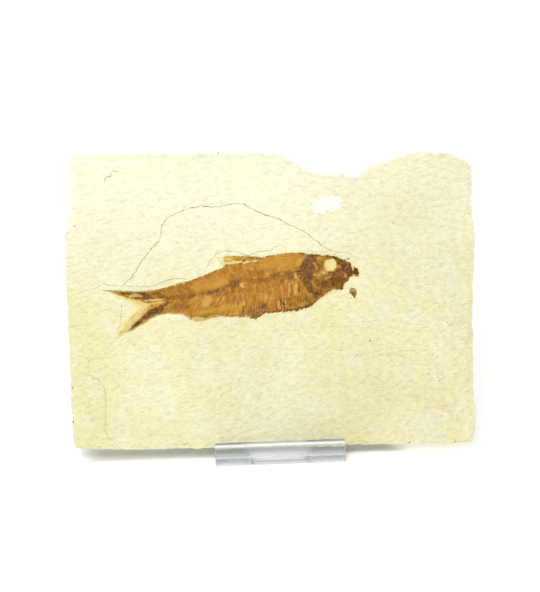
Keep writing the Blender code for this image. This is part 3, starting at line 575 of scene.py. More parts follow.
backbone = (
    (20.2, 4.7), (26.3, 5.9), (30.1, 5.7), (34.9, 5.2), (39.6, 4.3), (43.3, 3.4), (49.1, 2.3),
    (52.8, 1.9), (62.1, 1.7), (66.7, 1.1), (70.4, 0.9), (78.0, 0.2),
)
gillEdge = (
    (17.0, 9.2), (20.3, 5.6), (21.0, 3.0), (20.4, -1.2), (19.3, -4.1), (16.0, -6.6),
)
fishLook = {
    "gridStep": 0.22, "rimStep": 0.2, "rimRough": 0.4, "flesh": 0.26, "belly": 0.16,
    "eyeAt": (9.8, 4.2), "eyeRadius": 2.25,
    "ribPitch": 1.05, "ribSlant": 0.2, "spinePitch": 1.15, "spineSlant": 0.75,
    "tailRoot": (64.0, 0.3), "tailSpread": 16.0, "tailPitch": 0.62, "finSlant": 0.17, "finPitch": 0.7,
}
markings = {  # (reach, feather, strength, points) in the fish's frame
    "umber": (
        (0.08, 0.22, 0.65, ((71.0, 0.5), (75.0, 0.8), (79.0, 1.2))),
        (0.08, 0.22, 0.5, ((72.0, 1.5), (77.0, 2.0), (81.0, 2.7))),
        (0.06, 0.2, 0.5, ((72.6, -0.2), (76.6, -0.5))),
        (0.08, 0.22, 0.5, ((78.0, 3.4), (83.0, 4.3), (87.0, 5.4))),
        (0.06, 0.2, 0.4, ((77.0, -1.3), (81.0, -3.0), (85.0, -5.9))),
        (0.3, 0.5, 0.8, ((16.2, 8.7), (14.6, 8.6), (13.4, 8.3))),
        (0.2, 0.4, 0.6, ((12.2, 7.9), (10.4, 8.0), (9.0, 7.4))),
        (0.3, 0.4, 0.8, ((8.6, 6.9), (6.6, 6.2), (5.4, 5.2), (4.6, 4.2))),
        (0.5, 0.6, 0.6, ((4.6, 4.0), (4.4, 2.4), (3.4, 1.6))),
        (1.6, 1.0, 0.42, ((16.9, 6.9), (18.4, 5.0), (19.0, 2.8), (19.1, 1.2))),
        (0.5, 0.5, 0.5, ((20.2, 5.0), (20.8, 3.4), (20.5, 1.0))),
        (1.0, 0.8, 0.62, ((19.2, 0.2), (18.9, -1.8), (18.3, -3.6))),
        (0.5, 0.5, 0.85, ((18.6, -4.0), (16.6, -5.1), (15.0, -5.6))),
        (0.7, 0.5, 1.0, ((0.5, 0.4), (1.4, 0.7))), (0.4, 0.4, 1.0, ((2.4, 2.1), (2.6, 3.7))),
        (0.9, 0.6, 1.0, ((3.0, 0.9), (4.2, 1.4), (4.8, 3.0))),
        (0.6, 0.6, 0.85, ((3.4, -0.4), (4.4, -1.4))), (0.5, 0.6, 0.6, ((4.8, 0.6), (5.2, 2.4))),
        (0.4, 0.4, 0.7, ((7.0, 4.4), (7.2, 5.4))), (0.5, 0.4, 0.9, ((6.6, -3.8), (6.9, -5.1))),
        (0.3, 0.3, 0.8, ((8.4, -4.4), (8.6, -5.0))), (1.2, 1.1, 0.72, ((9.4, -2.0), (12.4, -2.3))),
        (0.6, 0.8, 0.5, ((13.0, -1.4), (15.4, -0.8))), (0.4, 0.5, 0.5, ((7.6, 1.4), (9.2, 0.9))),
        (0.6, 0.6, 0.55, ((5.4, -2.0), (7.2, -3.0), (9.0, -3.8))),
        (0.5, 1.0, 0.3, ((21.4, 3.4), (26.0, 3.6), (30.0, 3.4), (35.0, 2.8), (41.0, 2.3))),
        (0.5, 0.5, 0.35, ((45.0, 2.0), (50.0, 1.6))), (0.3, 0.4, 0.7, ((51.6, 1.3), (55.4, 1.0))),
        (0.2, 0.4, 0.5, ((55.4, 1.0), (61.0, 0.9))), (0.5, 0.7, 0.4, ((56.0, 0.8), (70.0, 0.8))),
        (0.6, 0.8, 0.3, ((44.0, 2.6), (48.6, 1.9))), (0.18, 0.3, 0.65, ((26.1, -5.8), (26.5, -8.8))),
        (0.14, 0.3, 0.5, ((27.3, -5.4), (27.7, -9.0))), (0.16, 0.3, 0.6, ((28.4, -5.4), (28.7, -9.2))),
        (0.2, 0.3, 0.7, ((29.6, -5.6), (29.9, -9.0))), (0.16, 0.3, 0.5, ((31.4, -5.8), (31.7, -8.8))),
        (0.15, 0.3, 0.55, ((22.3, -0.4), (22.6, -4.6))), (0.15, 0.3, 0.4, ((24.7, -1.0), (25.2, -4.6))),
        (0.3, 0.4, 0.65, ((20.2, -9.4), (21.4, -9.7))), (0.3, 0.4, 0.6, ((22.6, -9.8), (24.0, -10.0))),
        (0.3, 0.4, 0.65, ((26.8, -9.6), (28.6, -9.9))),
        (0.12, 0.4, 0.45, ((48.0, -8.5), (52.0, -7.9), (55.8, -7.5))),
        (0.25, 0.4, 0.5, ((43.6, -6.4), (43.8, -7.6))),
        (0.14, 0.25, 0.8, ((34.4, 10.6), (37.0, 11.1), (40.0, 11.7))),
        (0.12, 0.25, 0.5, ((40.0, 11.6), (43.0, 12.2))),
        (0.12, 0.3, 0.5, ((37.0, 10.2), (40.0, 10.6), (44.0, 11.3))),
        (0.2, 0.4, 0.45, ((41.8, 9.6), (42.6, 9.8))), (0.1, 0.3, 0.5, ((45.6, 9.5), (48.2, 9.9))),
        (0.4, 0.45, 0.95, ((78.6, 4.5), (81.5, 5.0), (84.0, 5.4), (86.5, 6.0))),
        (0.12, 0.25, 0.7, ((86.5, 6.1), (90.0, 6.9), (92.6, 7.4))),
        (0.25, 0.35, 0.55, ((78.5, 2.5), (82.0, 2.9))), (0.3, 0.4, 0.6, ((70.0, 0.9), (73.0, 2.6))),
        (0.3, 0.4, 0.5, ((73.4, 3.6), (75.0, 3.9))), (0.3, 0.4, 0.85, ((69.6, -0.3), (72.4, -1.3))),
        (0.75, 0.6, 0.8, ((73.0, -1.8), (75.2, -2.4), (77.6, -3.4))),
        (0.55, 0.6, 0.72, ((77.6, -3.5), (80.0, -4.7), (82.5, -6.2))),
        (0.4, 0.45, 0.85, ((82.5, -6.2), (84.4, -7.2))),
    ),
    "gold": (
        (0.8, 0.6, 0.9, ((11.4, -4.7), (15.4, -5.6))),
        (0.6, 0.6, 0.8, ((10.0, 7.9), (12.6, 7.6), (13.4, 6.2))),
        (0.9, 0.8, 0.5, ((13.0, 3.0), (14.4, 5.0))),
        (0.6, 1.0, 0.4, ((13.4, -0.4), (17.0, -1.6), (17.2, -3.4))),
        (1.6, 2.4, 0.3, ((21.0, 8.6), (28.0, 8.6), (33.0, 8.0))),
        (1.2, 1.2, 0.6, ((18.2, 8.4), (20.4, 6.4))), (1.0, 1.2, 0.4, ((23.6, 5.6), (27.0, 6.6))),
        (0.5, 0.5, 0.8, ((36.0, 10.3), (40.0, 10.9), (44.5, 11.6), (47.0, 12.4))),
        (1.4, 1.8, 0.32, ((49.0, 5.0), (54.0, 4.2), (59.0, 3.6))),
        (0.7, 1.4, 0.5, ((55.5, -1.4), (57.0, -2.6))), (0.4, 0.6, 0.7, ((43.4, -5.1), (44.2, -6.0))),
        (0.3, 0.4, 0.5, ((23.1, -0.2), (23.5, -4.2))), (0.3, 0.4, 0.5, ((24.0, -1.2), (24.4, -5.0))),
        (0.6, 0.7, 0.6, ((81.0, 4.0), (86.0, 4.9), (89.0, 5.8))),
        (0.9, 0.7, 0.8, ((73.4, 0.3), (76.4, 0.4))),
        (0.5, 0.5, 0.7, ((76.8, -0.8), (79.0, -1.8), (82.0, -4.2))),
        (0.5, 0.5, 0.7, ((85.0, -7.0), (87.6, -8.6))), (0.6, 0.8, 0.5, ((69.5, -3.4), (72.4, -3.7))),
        (0.5, 0.8, 0.5, ((9.4, 7.7), (12.0, 7.4), (12.6, 6.0))),
        (0.8, 1.4, 0.35, ((34.0, 8.8), (30.0, 9.6))), (0.5, 0.8, 0.4, ((46.0, -5.6), (60.0, -6.0))),
    ),
    "pale": (
        (0.1, 0.7, 0.7, ((42.7, 1.2), (43.1, 2.2))), (0.1, 0.8, 0.5, ((38.4, 7.1),)),
        (0.1, 0.8, 0.5, ((28.7, 5.5),)), (0.1, 0.6, 0.4, ((33.0, 4.4),)), (0.1, 0.8, 0.5, ((32.6, 0.7),)),
        (0.1, 0.7, 0.5, ((26.6, 0.8),)), (0.1, 0.7, 0.35, ((38.3, 0.9),)),
        (0.1, 0.7, 0.5, ((23.0, 3.0), (23.0, 1.6))), (0.05, 0.4, 0.45, ((23.4, -0.6), (23.9, -4.9))),
        (0.05, 0.4, 0.35, ((25.8, -0.2), (26.6, -4.6))), (0.1, 2.2, 0.27, ((55.6, -1.2), (57.2, -2.8))),
        (0.1, 0.6, 0.4, ((12.8, 1.6), (11.4, 1.3))), (0.1, 0.4, 0.6, ((14.0, 7.3),)),
        (0.1, 0.5, 0.5, ((4.2, 2.4),)), (0.1, 0.3, 0.5, ((5.0, 0.0), (4.9, -1.0))),
        (0.1, 0.5, 0.5, ((7.3, 3.6),)), (0.1, 0.5, 0.5, ((16.0, 1.4),)), (0.1, 0.4, 0.5, ((18.8, 0.0),)),
        (0.1, 0.6, 0.4, ((72.0, 1.0), (76.0, 1.2))), (0.2, 0.6, 0.5, ((81.0, 4.2), (83.0, 4.5))),
        (0.3, 0.7, 0.5, ((77.4, -0.4), (80.0, -2.0), (84.0, -5.0))),
        (0.05, 0.4, 0.35, ((28.3, -1.6), (28.9, -4.6))), (0.05, 0.5, 0.3, ((34.9, -3.0), (35.3, -5.6))),
        (0.05, 0.5, 0.35, ((43.0, -3.4), (43.4, -4.6))), (0.2, 1.6, 0.2, ((50.0, 4.4), (52.0, 3.2))),
        (0.05, 0.3, 0.4, ((28.0, -6.2), (28.1, -8.6))), (0.05, 0.3, 0.4, ((29.1, -6.2), (29.3, -8.6))),
        (0.05, 0.3, 0.4, ((30.5, -6.2), (30.8, -8.6))), (0.2, 0.9, 0.2, ((18.6, 8.8), (20.6, 7.2))),
        (0.1, 0.5, 0.4, ((10.6, -0.2), (12.0, -0.6))), (0.1, 0.5, 0.4, ((15.4, 5.6), (14.8, 3.6))),
    ),
    "cream": (
        (0.3, 0.9, 0.75, ((48.7, 10.4), (48.7, 12.9))), (0.4, 0.6, 0.6, ((85.8, -7.0), (88.4, -8.4))),
        (0.08, 0.35, 0.42, ((71.6, 0.1), (76.0, 0.1))), (0.08, 0.35, 0.42, ((73.0, 1.1), (79.0, 1.6))),
        (0.1, 0.3, 0.5, ((80.0, 3.4), (84.0, 4.2))), (0.25, 0.3, 0.8, ((1.7, 1.5), (1.7, 2.9))),
        (0.2, 0.3, 0.8, ((1.9, -1.0), (2.2, -1.8))), (0.3, 0.9, 0.35, ((12.6, 1.9), (14.2, 1.2))),
        (0.2, 0.5, 0.5, ((78.0, 0.0), (81.4, 0.6), (84.4, 3.0))),
        (0.3, 0.6, 0.6, ((80.0, -1.9), (84.0, -4.7), (88.0, -7.7))),
        (0.1, 0.35, 0.8, ((36.4, 9.8), (39.0, 10.0), (41.0, 9.8))),
        (0.25, 0.4, 0.95, ((42.0, 10.3), (44.6, 10.5), (48.2, 10.9))),
        (0.1, 0.3, 0.6, ((45.0, 11.7), (47.6, 12.0))),
        (0.2, 0.5, 0.6, ((80.4, 1.5), (83.0, 2.3), (86.0, 3.7))),
        (0.2, 0.5, 0.55, ((78.6, -1.6), (80.4, -3.0), (83.4, -5.2), (86.0, -7.0))),
        (0.1, 0.4, 0.45, ((77.4, 0.1), (79.0, -0.8), (81.6, -2.8), (85.0, -5.2), (87.6, -7.2))),
        (0.3, 0.5, 0.55, ((88.4, -8.7), (90.5, -9.5))), (0.2, 0.5, 0.35, ((10.4, -5.3), (13.0, -6.2))),
        (0.4, 0.6, 0.5, ((59.4, -8.3), (62.6, -7.7))),
    ),
    "olive": (
        (0.25, 0.5, 0.6, ((78.0, -2.5), (80.4, -4.0), (83.4, -6.1), (86.4, -8.0))),
        (1.4, 1.4, 0.22, ((62.0, 3.6), (72.0, 3.2))), (1.0, 1.2, 0.22, ((64.0, -2.4), (72.0, -2.4))),
        (0.5, 0.6, 0.4, ((72.5, -2.9), (75.0, -3.6))), (0.7, 0.7, 0.7, ((74.0, 2.9), (77.4, 3.2))),
        (0.9, 0.9, 0.5, ((14.0, 1.0), (14.8, 4.2))), (0.5, 0.6, 0.7, ((36.5, -9.4), (40.3, -9.4))),
        (0.6, 0.8, 0.5, ((20.5, -6.4), (19.4, -7.2))),
        (1.6, 1.4, 0.4, ((6.4, 2.4), (6.0, 0.4), (7.6, -1.6))),
        (0.5, 0.5, 1.0, ((0.4, -0.6), (0.4, 0.8))), (1.0, 1.0, 0.5, ((8.6, -2.6), (12.6, -2.8))),
        (1.0, 0.8, 0.42, ((79.0, 4.0), (84.0, 4.9), (88.0, 5.9))),
        (0.3, 0.4, 0.7, ((79.0, 4.9), (84.0, 5.8), (90.0, 7.0))),
        (0.5, 0.6, 0.4, ((84.4, -7.2), (88.0, -9.0))), (1.2, 1.4, 0.35, ((22.0, -6.0), (27.0, -7.0))),
        (0.3, 0.6, 0.5, ((21.4, 3.6), (20.6, 5.0))), (0.6, 1.0, 0.3, ((60.0, -7.0), (52.0, -7.4))),
    ),
    "rust": (
        (0.7, 0.8, 0.5, ((11.6, -4.5), (14.8, -4.9))), (0.8, 0.8, 0.45, ((33.0, -7.8), (35.0, -8.0))),
        (1.4, 1.6, 0.18, ((62.0, -2.6), (72.0, -2.2))), (1.0, 1.4, 0.3, ((24.0, -6.5), (30.0, -3.0))),
        (1.2, 1.4, 0.16, ((64.0, 3.4), (72.0, 3.0))), (0.8, 1.4, 0.2, ((48.0, 7.0), (56.0, 5.8))),
        (1.8, 1.6, 0.45, ((5.2, -0.6), (8.6, -0.4))), (0.6, 1.0, 0.35, ((14.4, 5.6), (13.4, 3.0))),
    ),
    "violet": (
        (1.8, 0.7, 0.75, ((16.9, 6.9), (18.4, 5.0), (19.0, 2.8), (19.1, 1.2))),
        (0.8, 0.7, 0.6, ((15.4, 7.9), (16.2, 4.6), (17.4, 1.6))),
        (0.8, 0.8, 0.5, ((19.2, 0.2), (18.9, -1.8), (18.3, -3.6))),
        (1.4, 1.2, 0.6, ((3.6, 1.0), (5.4, 0.6), (7.6, 0.2))),
        (0.7, 0.9, 0.6, ((44.9, 3.3), (46.6, 2.9))), (0.6, 0.6, 0.75, ((35.7, -6.8), (37.2, -7.4))),
        (0.7, 0.6, 0.6, ((77.7, 2.9), (79.3, 2.9))), (0.6, 0.7, 0.5, ((38.0, -8.2), (44.5, -8.5))),
        (0.4, 0.4, 0.4, ((11.0, 1.5), (13.4, 1.5))), (0.8, 1.4, 0.35, ((22.5, 2.6), (29.0, 2.8))),
        (0.7, 1.2, 0.35, ((47.0, 0.6), (54.0, 0.0))), (0.6, 1.0, 0.35, ((44.0, -1.0), (46.0, -3.0))),
        (0.5, 0.6, 0.45, ((74.0, -2.3), (78.0, -3.8))), (0.5, 0.8, 0.2, ((66.0, -3.0), (69.0, -2.0))),
    ),
}


def lineAt(line, s):
    return np.interp(s, [p[0] for p in line], [p[1] for p in line])


def fishMasks(places):
    masks = {name: paint(places, strokes, 0.45, 2.0 + k)
             for k, (name, strokes) in enumerate(markings.items())}
    s, w = places.T
    dx, dy = (np.abs(places - fishLook["eyeAt"])).T
    offEye = (dx ** 2.5 + dy ** 2.5) ** 0.4 + 0.5 * bumps(places, 1.8, 31.0, 2)
    eye = 1.0 - smooth(fishLook["eyeRadius"] - 0.6, fishLook["eyeRadius"] + 0.25, offEye)
    inHead = 1.0 - smooth(19.0, 21.0, s)
    toRim = distanceTo(places, fishShape, True) + 0.25 * bumps(places, 1.1, 32.0, 2)
    inFin = smooth(9.0, 10.4, w) * smooth(34.0, 36.0, s) * (1.0 - smooth(48.0, 49.0, s))
    thin = np.maximum(smooth(74.0, 78.0, s), 0.8 * inFin)
    thin = np.maximum(thin, 0.6 * smooth(48.0, 53.0, s) * (w < 0.0))
    masks["cream"] = np.maximum(masks["cream"], thin * 0.5 * (1.0 - smooth(0.0, 0.6, toRim)))
    for name, least, spread, size, seed in (
        ("umber", 0.3, 0.4, 2.2, 33.0), ("olive", 0.22, 0.4, 2.0, 34.0), ("gold", 0.2, 0.7, 1.8, 36.0),
    ):  # the skull is mottled all over
        masks[name] = np.maximum(masks[name], inHead * (least + spread * bumps(places, size, seed, 2)))
    masks["umber"] = np.maximum(masks["umber"], 0.45 * (1.0 - smooth(0.0, 0.35, toRim)) * (1.0 - thin))
    masks["fleck"] = (0.5 + 0.6 * bumps(places, 5.0, 35.0, 2)) * (1.0 - 0.5 * inHead)
    masks["fleck"] *= 1.0 - 0.35 * smooth(0.0, 3.0, w - lineAt(backbone, s))
    for name in masks:
        masks[name] = masks[name] * (1.0 - eye)
    masks["cream"] = np.maximum(masks["cream"], 1.3 * eye)
    return masks


def ribSlantAt(s):
    # the ribs hang nearly straight; behind them the spines sweep back
    return fishLook["ribSlant"] + (fishLook["spineSlant"] - fishLook["ribSlant"]) * smooth(44.0, 56.0, s)


def tailPolar(places):
    # across the rays of the tail and along them, from where they spread
    s, w = (places - fishLook["tailRoot"]).T
    return np.arctan2(w, s) * fishLook["tailSpread"], np.hypot(s, w)


def fishFlow(places):
    # how the bone's fibres run: millimetres across them and along them
    s, w = places.T
    look = fishLook
    below = lineAt(backbone, s) - w
    across = np.where(below > 0, s - ribSlantAt(s) * below, s + look["spineSlant"] * below)
    along = np.abs(below)
    tail, head = s > 75.0, s < 19.0
    inTail = tailPolar(places)
    across = np.where(tail, inTail[0], np.where(head, s - 0.5 * w, across))
    along = np.where(tail, inTail[1], np.where(head, 2.6 * w, along))
    behindGill = (below > -0.8) & (below < 2.4) & (s < 44.0)
    side = (s > 19.5) & (behindGill | ((below < 0.0) & (s < 32.0)))  # drawn out along the body
    across, along = np.where(side, w, across), np.where(side, s, along)
    fin = (w > 9.3) & (s > 34.0) & (s < 49.0)
    across, along = np.where(fin, w - look["finSlant"] * s, across), np.where(fin, s, along)
    return np.column_stack((across, along, np.zeros(len(s))))


def paintFish(mesh):
    # the fish's markings and fibre directions on every corner of a mesh
    co = np.zeros(len(mesh.vertices) * 3, np.float32)
    mesh.vertices.foreach_get("co", co)
    places = toFish(toSlab(co.reshape(-1, 3))[:, :2])
    for field, values in {**fishMasks(places), "flow": fishFlow(places)}.items():
        setField(mesh, field, values)


def fishHeight(places, toRim):
    look = fishLook
    s, w = places.T
    below = lineAt(backbone, s) - w
    inBody = smooth(20.0, 22.0, s) * (1.0 - smooth(72.0, 76.0, s))
    inTail = smooth(74.0, 77.0, s)
    inHead = 1.0 - smooth(19.5, 21.5, s)
    inFin = smooth(9.3, 10.2, w) * smooth(34.5, 36.0, s) * (1.0 - smooth(47.5, 48.5, s))
    height = look["flesh"] + look["belly"] * smooth(0.0, 4.0, toRim)
    height += inBody * 0.2 * np.exp(-(below / 0.8) ** 2)
    wave = 0.35 * bumps(places, 3.0, 56.0)
    ribs = np.cos(math.tau * ((s - ribSlantAt(s) * below) / look["ribPitch"] + wave))
    ribs *= smooth(0.4, 1.6, below)
    spines = np.cos(math.tau * ((s + look["spineSlant"] * below) / look["spinePitch"] + wave))
    spines *= smooth(0.4, 1.6, -below)
    patchy = np.clip(0.65 + 0.8 * bumps(places, 4.0, 51.0), 0.0, 1.3)
    height += inBody * patchy * (0.085 * ribs + 0.07 * spines)
    height += inBody * (0.11 * bumps(places, 1.3, 52.0, 3) + 0.05 * bumps(places, 0.5, 57.0))
    offEye = np.hypot(s - look["eyeAt"][0], w - look["eyeAt"][1])
    ring = 0.3 * np.exp(-((offEye - look["eyeRadius"] - 0.45) / 0.5) ** 2)
    hollow = 0.3 * (1.0 - smooth(look["eyeRadius"] * 0.6, look["eyeRadius"], offEye))
    toGill = distanceTo(places, gillEdge)
    plate = 0.26 * (1.0 - smooth(0.6, 2.6, toGill))
    step = 0.22 * (1.0 - smooth(0.0, 0.4, np.abs(toGill - 3.4)))
    height += inHead * (ring - hollow + plate - step + 0.26 * bumps(places, 1.5, 53.0, 3) + 0.12)
    tailRay = tailPolar(places)[0] / look["tailPitch"] + 0.3 * bumps(places, 4.0, 54.0)
    height += inTail * (0.06 * np.cos(math.tau * tailRay) + 0.06 * bumps(places, 0.8, 55.0, 2) - 0.1)
    height += inFin * (0.06 * np.cos(math.tau * (w - look["finSlant"] * s) / look["finPitch"]) - 0.08)
    width = 0.45 + 0.75 * inBody
    return height * smooth(-0.1, width, toRim) - 0.16 * (1.0 - smooth(0.0, 0.3, toRim))


def flakeHeight(places, toRim):
    raised = (0.3 + 0.12 * bumps(places, 0.9, 72.0, 3)) * smooth(-0.1, 0.6, toRim)
    return raised - 0.15 * (1.0 - smooth(0.0, 0.3, toRim))


def reliefOn(loop, rough, size, seeds, heightOf):
    # a bone standing up from a rough outline, as points and faces
    edge = roughLoop(loop, fishLook["rimStep"], rough, size, seeds[0])
    flat, faces = fillLoop(edge, scatterInside(edge, fishLook["gridStep"], 0.6, seeds[1]))
    toRim = distanceTo(flat, edge, True)
    toRim[:len(edge)] = 0.0
    return closeBelow(edge, flat, heightOf(toFish(flat), toRim), faces, 0.5)


def buildFish():
    points, faces = reliefOn(fishLoop, fishLook["rimRough"], 1.2, (61.0, 6), fishHeight)
    made = makePiece("fishRelief", points, faces, bone, {})
    paintFish(made.data)
    return made


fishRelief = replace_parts(buildFish(), "fish")
flakeLook = {
    "rough": 0.1, "umber": ((0.4, 0.9, 0.35, ((3.2, -7.8), (2.6, -9.3))),),
    "cream": ((0.2, 0.6, 0.2, ((3.9, -5.8), (2.4, -6.2))),),
}


def buildFlake():
    points, faces = reliefOn(flakeLoop, flakeLook["rough"], 0.8, (71.0, 8), flakeHeight)
    places = toFish(toSlab(points)[:, :2])
    fields = {tone: paint(places, flakeLook[tone]) for tone in ("umber", "cream")}
    fields["flow"] = np.column_stack((places * (1.0, 0.3), np.zeros(len(places))))
    return makePiece("boneFlake", points, faces, flakeBone, fields)


flakeBone = makeBone("flaked_fossil_bone", 0.95, ("#B39458", "#94764A"))
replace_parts(buildFlake(), "loose_bone_flake")


def newTree(name, inputs):
    tree = bpy.data.node_groups.new(name, "GeometryNodeTree")
    tree.interface.new_socket("Geometry", in_out="INPUT", socket_type="NodeSocketGeometry")
    for label, kind in inputs:
        tree.interface.new_socket(label, in_out="INPUT", socket_type="NodeSocket" + kind)
    tree.interface.new_socket("Geometry", in_out="OUTPUT", socket_type="NodeSocketGeometry")
    return tree, tree.nodes.new("NodeGroupInput").outputs


def finishTree(tree, given, geometry):
    real = addNode(tree, "GeometryNodeRealizeInstances", {"Geometry": geometry})
    shaded = addNode(tree, "GeometryNodeSetShadeSmooth", {"Geometry": real.outputs[0]})
    coloured = addNode(tree, "GeometryNodeSetMaterial", {
        "Geometry": shaded.outputs[0], "Material": given["Material"]})
    addNode(tree, "NodeGroupOutput", {"Geometry": coloured.outputs[0]})


def dropOnSurface(tree, given, geometry):
    # every point falls onto the surface and is then lifted off it
    surface = addNode(tree, "GeometryNodeObjectInfo", {"Object": given["Surface"]})
    here = addNode(tree, "GeometryNodeInputPosition")
    above = addNode(tree, "ShaderNodeVectorMath", {0: given["Outward"], "Scale": 4 * mm}, operation="SCALE")
    start = addNode(tree, "ShaderNodeVectorMath", {0: here.outputs[0], 1: above.outputs[0]})
    down = addNode(tree, "ShaderNodeVectorMath", {0: given["Outward"], "Scale": -1.0}, operation="SCALE")
    hit = addNode(tree, "GeometryNodeRaycast", {
        "Target Geometry": surface.outputs["Geometry"], "Source Position": start.outputs[0],
        "Ray Direction": down.outputs[0], "Ray Length": 8 * mm})
    raised = addNode(tree, "ShaderNodeVectorMath", {
        0: given["Outward"], "Scale": given["Lift"]}, operation="SCALE")
    place = addNode(tree, "ShaderNodeVectorMath", {0: hit.outputs["Hit Position"], 1: raised.outputs[0]})
    return addNode(tree, "GeometryNodeSetPosition", {
        "Geometry": geometry, "Selection": hit.outputs["Is Hit"], "Position": place.outputs[0]}).outputs[0]


def makeStrandTree():
    # tapered strands along guide lines, laid on a surface
    tree, given = newTree("strandsOnSurface", (
        ("Surface", "Object"), ("Outward", "Vector"), ("Lift", "Float"), ("Step", "Float"),
        ("Sides", "Int"), ("Material", "Material")))
    lines = addNode(tree, "GeometryNodeMeshToCurve", {"Mesh": given["Geometry"]})
    curved = addNode(tree, "GeometryNodeCurveSplineType", {
        "Curve": lines.outputs[0]}, spline_type="CATMULL_ROM")
    even = addNode(tree, "GeometryNodeResampleCurve", {
        "Curve": curved.outputs[0], "Length": given["Step"]}, mode="LENGTH")
    laid = dropOnSurface(tree, given, even.outputs[0])
    girth = addNode(tree, "GeometryNodeInputNamedAttribute", {"Name": "girth"}, data_type="FLOAT")
    sized = addNode(tree, "GeometryNodeSetCurveRadius", {"Curve": laid, "Radius": girth.outputs[0]})
    profile = addNode(tree, "GeometryNodeCurvePrimitiveCircle", {
        "Resolution": given["Sides"], "Radius": 1.0})
    tubes = addNode(tree, "GeometryNodeCurveToMesh", {
        "Curve": sized.outputs[0], "Profile Curve": profile.outputs[0], "Fill Caps": True})
    if "Scale" in tubes.inputs:
        tree.links.new(girth.outputs[0], tubes.inputs["Scale"])
    finishTree(tree, given, tubes.outputs[0])
    return tree


def makeBeadTree():
    # copies of one shape spaced along guide lines, turned to follow them
    tree, given = newTree("beadsOnSurface", (
        ("Surface", "Object"), ("Shape", "Object"), ("Outward", "Vector"), ("Lift", "Float"),
        ("Count", "Int"), ("Unevenness", "Float"), ("Seed", "Int"), ("Material", "Material")))
    lines = addNode(tree, "GeometryNodeMeshToCurve", {"Mesh": given["Geometry"]})
    even = addNode(tree, "GeometryNodeResampleCurve", {
        "Curve": lines.outputs[0], "Count": given["Count"]}, mode="COUNT")
    laid = dropOnSurface(tree, given, even.outputs[0])
    shape = addNode(tree, "GeometryNodeObjectInfo", {"Object": given["Shape"]})
    along = addNode(tree, "GeometryNodeInputTangent")
    turned = addNode(tree, "FunctionNodeAxesToRotation", {
        0: given["Outward"], 1: along.outputs[0]}, primary_axis="Z", secondary_axis="X")
    least, most = (addNode(tree, "ShaderNodeMath", {
        0: 1.0, 1: given["Unevenness"]}, operation=way).outputs[0] for way in ("SUBTRACT", "ADD"))
    uneven = addNode(tree, "FunctionNodeRandomValue", {
        2: least, 3: most, "Seed": given["Seed"]}, data_type="FLOAT")
    girth = addNode(tree, "GeometryNodeInputNamedAttribute", {"Name": "girth"}, data_type="FLOAT")
    size = addNode(tree, "ShaderNodeMath", {
        0: girth.outputs[0], 1: uneven.outputs[1]}, operation="MULTIPLY")
    copies = addNode(tree, "GeometryNodeInstanceOnPoints", {
        "Points": laid, "Instance": shape.outputs["Geometry"], "Rotation": turned.outputs[0],
        "Scale": size.outputs[0]})
    finishTree(tree, given, copies.outputs[0])
    return tree


def runTree(name, tree, lines, settings, material, fishy=False):
    # lines hold (u, v, girth in millimetres) points; the tree's result becomes a plain mesh
    points, sides, girths = [], [], []
    for line in lines:
        line = np.asarray(line, float)
        sides += [(len(points) + i, len(points) + i + 1) for i in range(len(line) - 1)]
        points += onSlab(np.column_stack((line[:, :2], np.zeros(len(line))))).tolist()
        girths += (line[:, 2] * mm).tolist()
    guides = bpy.data.meshes.new(name + "Guide")
    guides.from_pydata(points, sides, [])
    setField(guides, "girth", girths)
    guide = addObject(name + "Guide", guides)
    modifier = guide.modifiers.new("build", "NODES")
    modifier.node_group = tree
    settings = {"Outward": Vector(slabAxes[2]), "Material": material, **settings}
    for item in tree.interface.items_tree:
        if item.in_out == "INPUT" and item.name in settings:
            modifier[item.identifier] = settings[item.name]
    mesh = bpy.data.meshes.new_from_object(guide.evaluated_get(bpy.context.evaluated_depsgraph_get()))
    bpy.data.objects.remove(guide)
    mesh.name = name
    mesh.materials.clear()
    mesh.materials.append(material)
    if fishy:
        paintFish(mesh)
    return ridePiece(addObject(name, mesh))


def fishLine(points, girths):
    # a guide line in the fish's frame, its girth spread evenly along it
    flat = fromFish(points)
    girth = np.interp(np.linspace(0, 1, len(flat)), np.linspace(0, 1, len(girths)), girths)
    return np.column_stack((flat, girth))


def asShape(name, built):
    mesh = bpy.data.meshes.new(name)
    built.to_mesh(mesh)
    built.free()
    return bpy.data.objects.new(name, mesh)


def vertebraShape(sides=10):
    # one short spool with a waist, a few dozen faces
    built = bmesh.new()
    turns = [math.tau * k / sides for k in range(sides)]
    outline = ((-0.58, 0.40), (-0.46, 0.46), (-0.2, 0.33), (0.2, 0.33), (0.46, 0.46), (0.58, 0.40))
    rings = [[built.verts.new((x, r * math.cos(a), 0.8 * r * math.sin(a))) for a in turns]
             for x, r in outline]
    for left, right in zip(rings, rings[1:]):
        for i in range(sides):
            built.faces.new((left[i], left[(i + 1) % sides], right[(i + 1) % sides], right[i]))
    built.faces.new(rings[0])
    built.faces.new(rings[-1])
    bmesh.ops.recalc_face_normals(built, faces=built.faces)
    return asShape("vertebraShape", built)


strandTree, beadTree = makeStrandTree(), makeBeadTree()
vertebraLook = {"along": (21.6, 73.5, 27), "count": 38, "lift": -0.12, "unevenness": 0.12}
vertebraLine = [(s, float(lineAt(backbone, s))) for s in np.linspace(*vertebraLook["along"])]
runTree("vertebrae", beadTree, [fishLine(vertebraLine, (1.1, 1.25, 1.1, 0.9))], {
    "Surface": fishRelief, "Shape": vertebraShape(), "Lift": vertebraLook["lift"] * mm,
    "Count": vertebraLook["count"], "Unevenness": vertebraLook["unevenness"], "Seed": 4,
}, darkBone, True)

# where along the fish they stand: (from, to, pitch)
ribLook = {"ribs": (22.0, 51.0, 1.05), "spines": (29.5, 68.0, 1.25), "lowSpinesFrom": 50.0, "girth": 0.1}


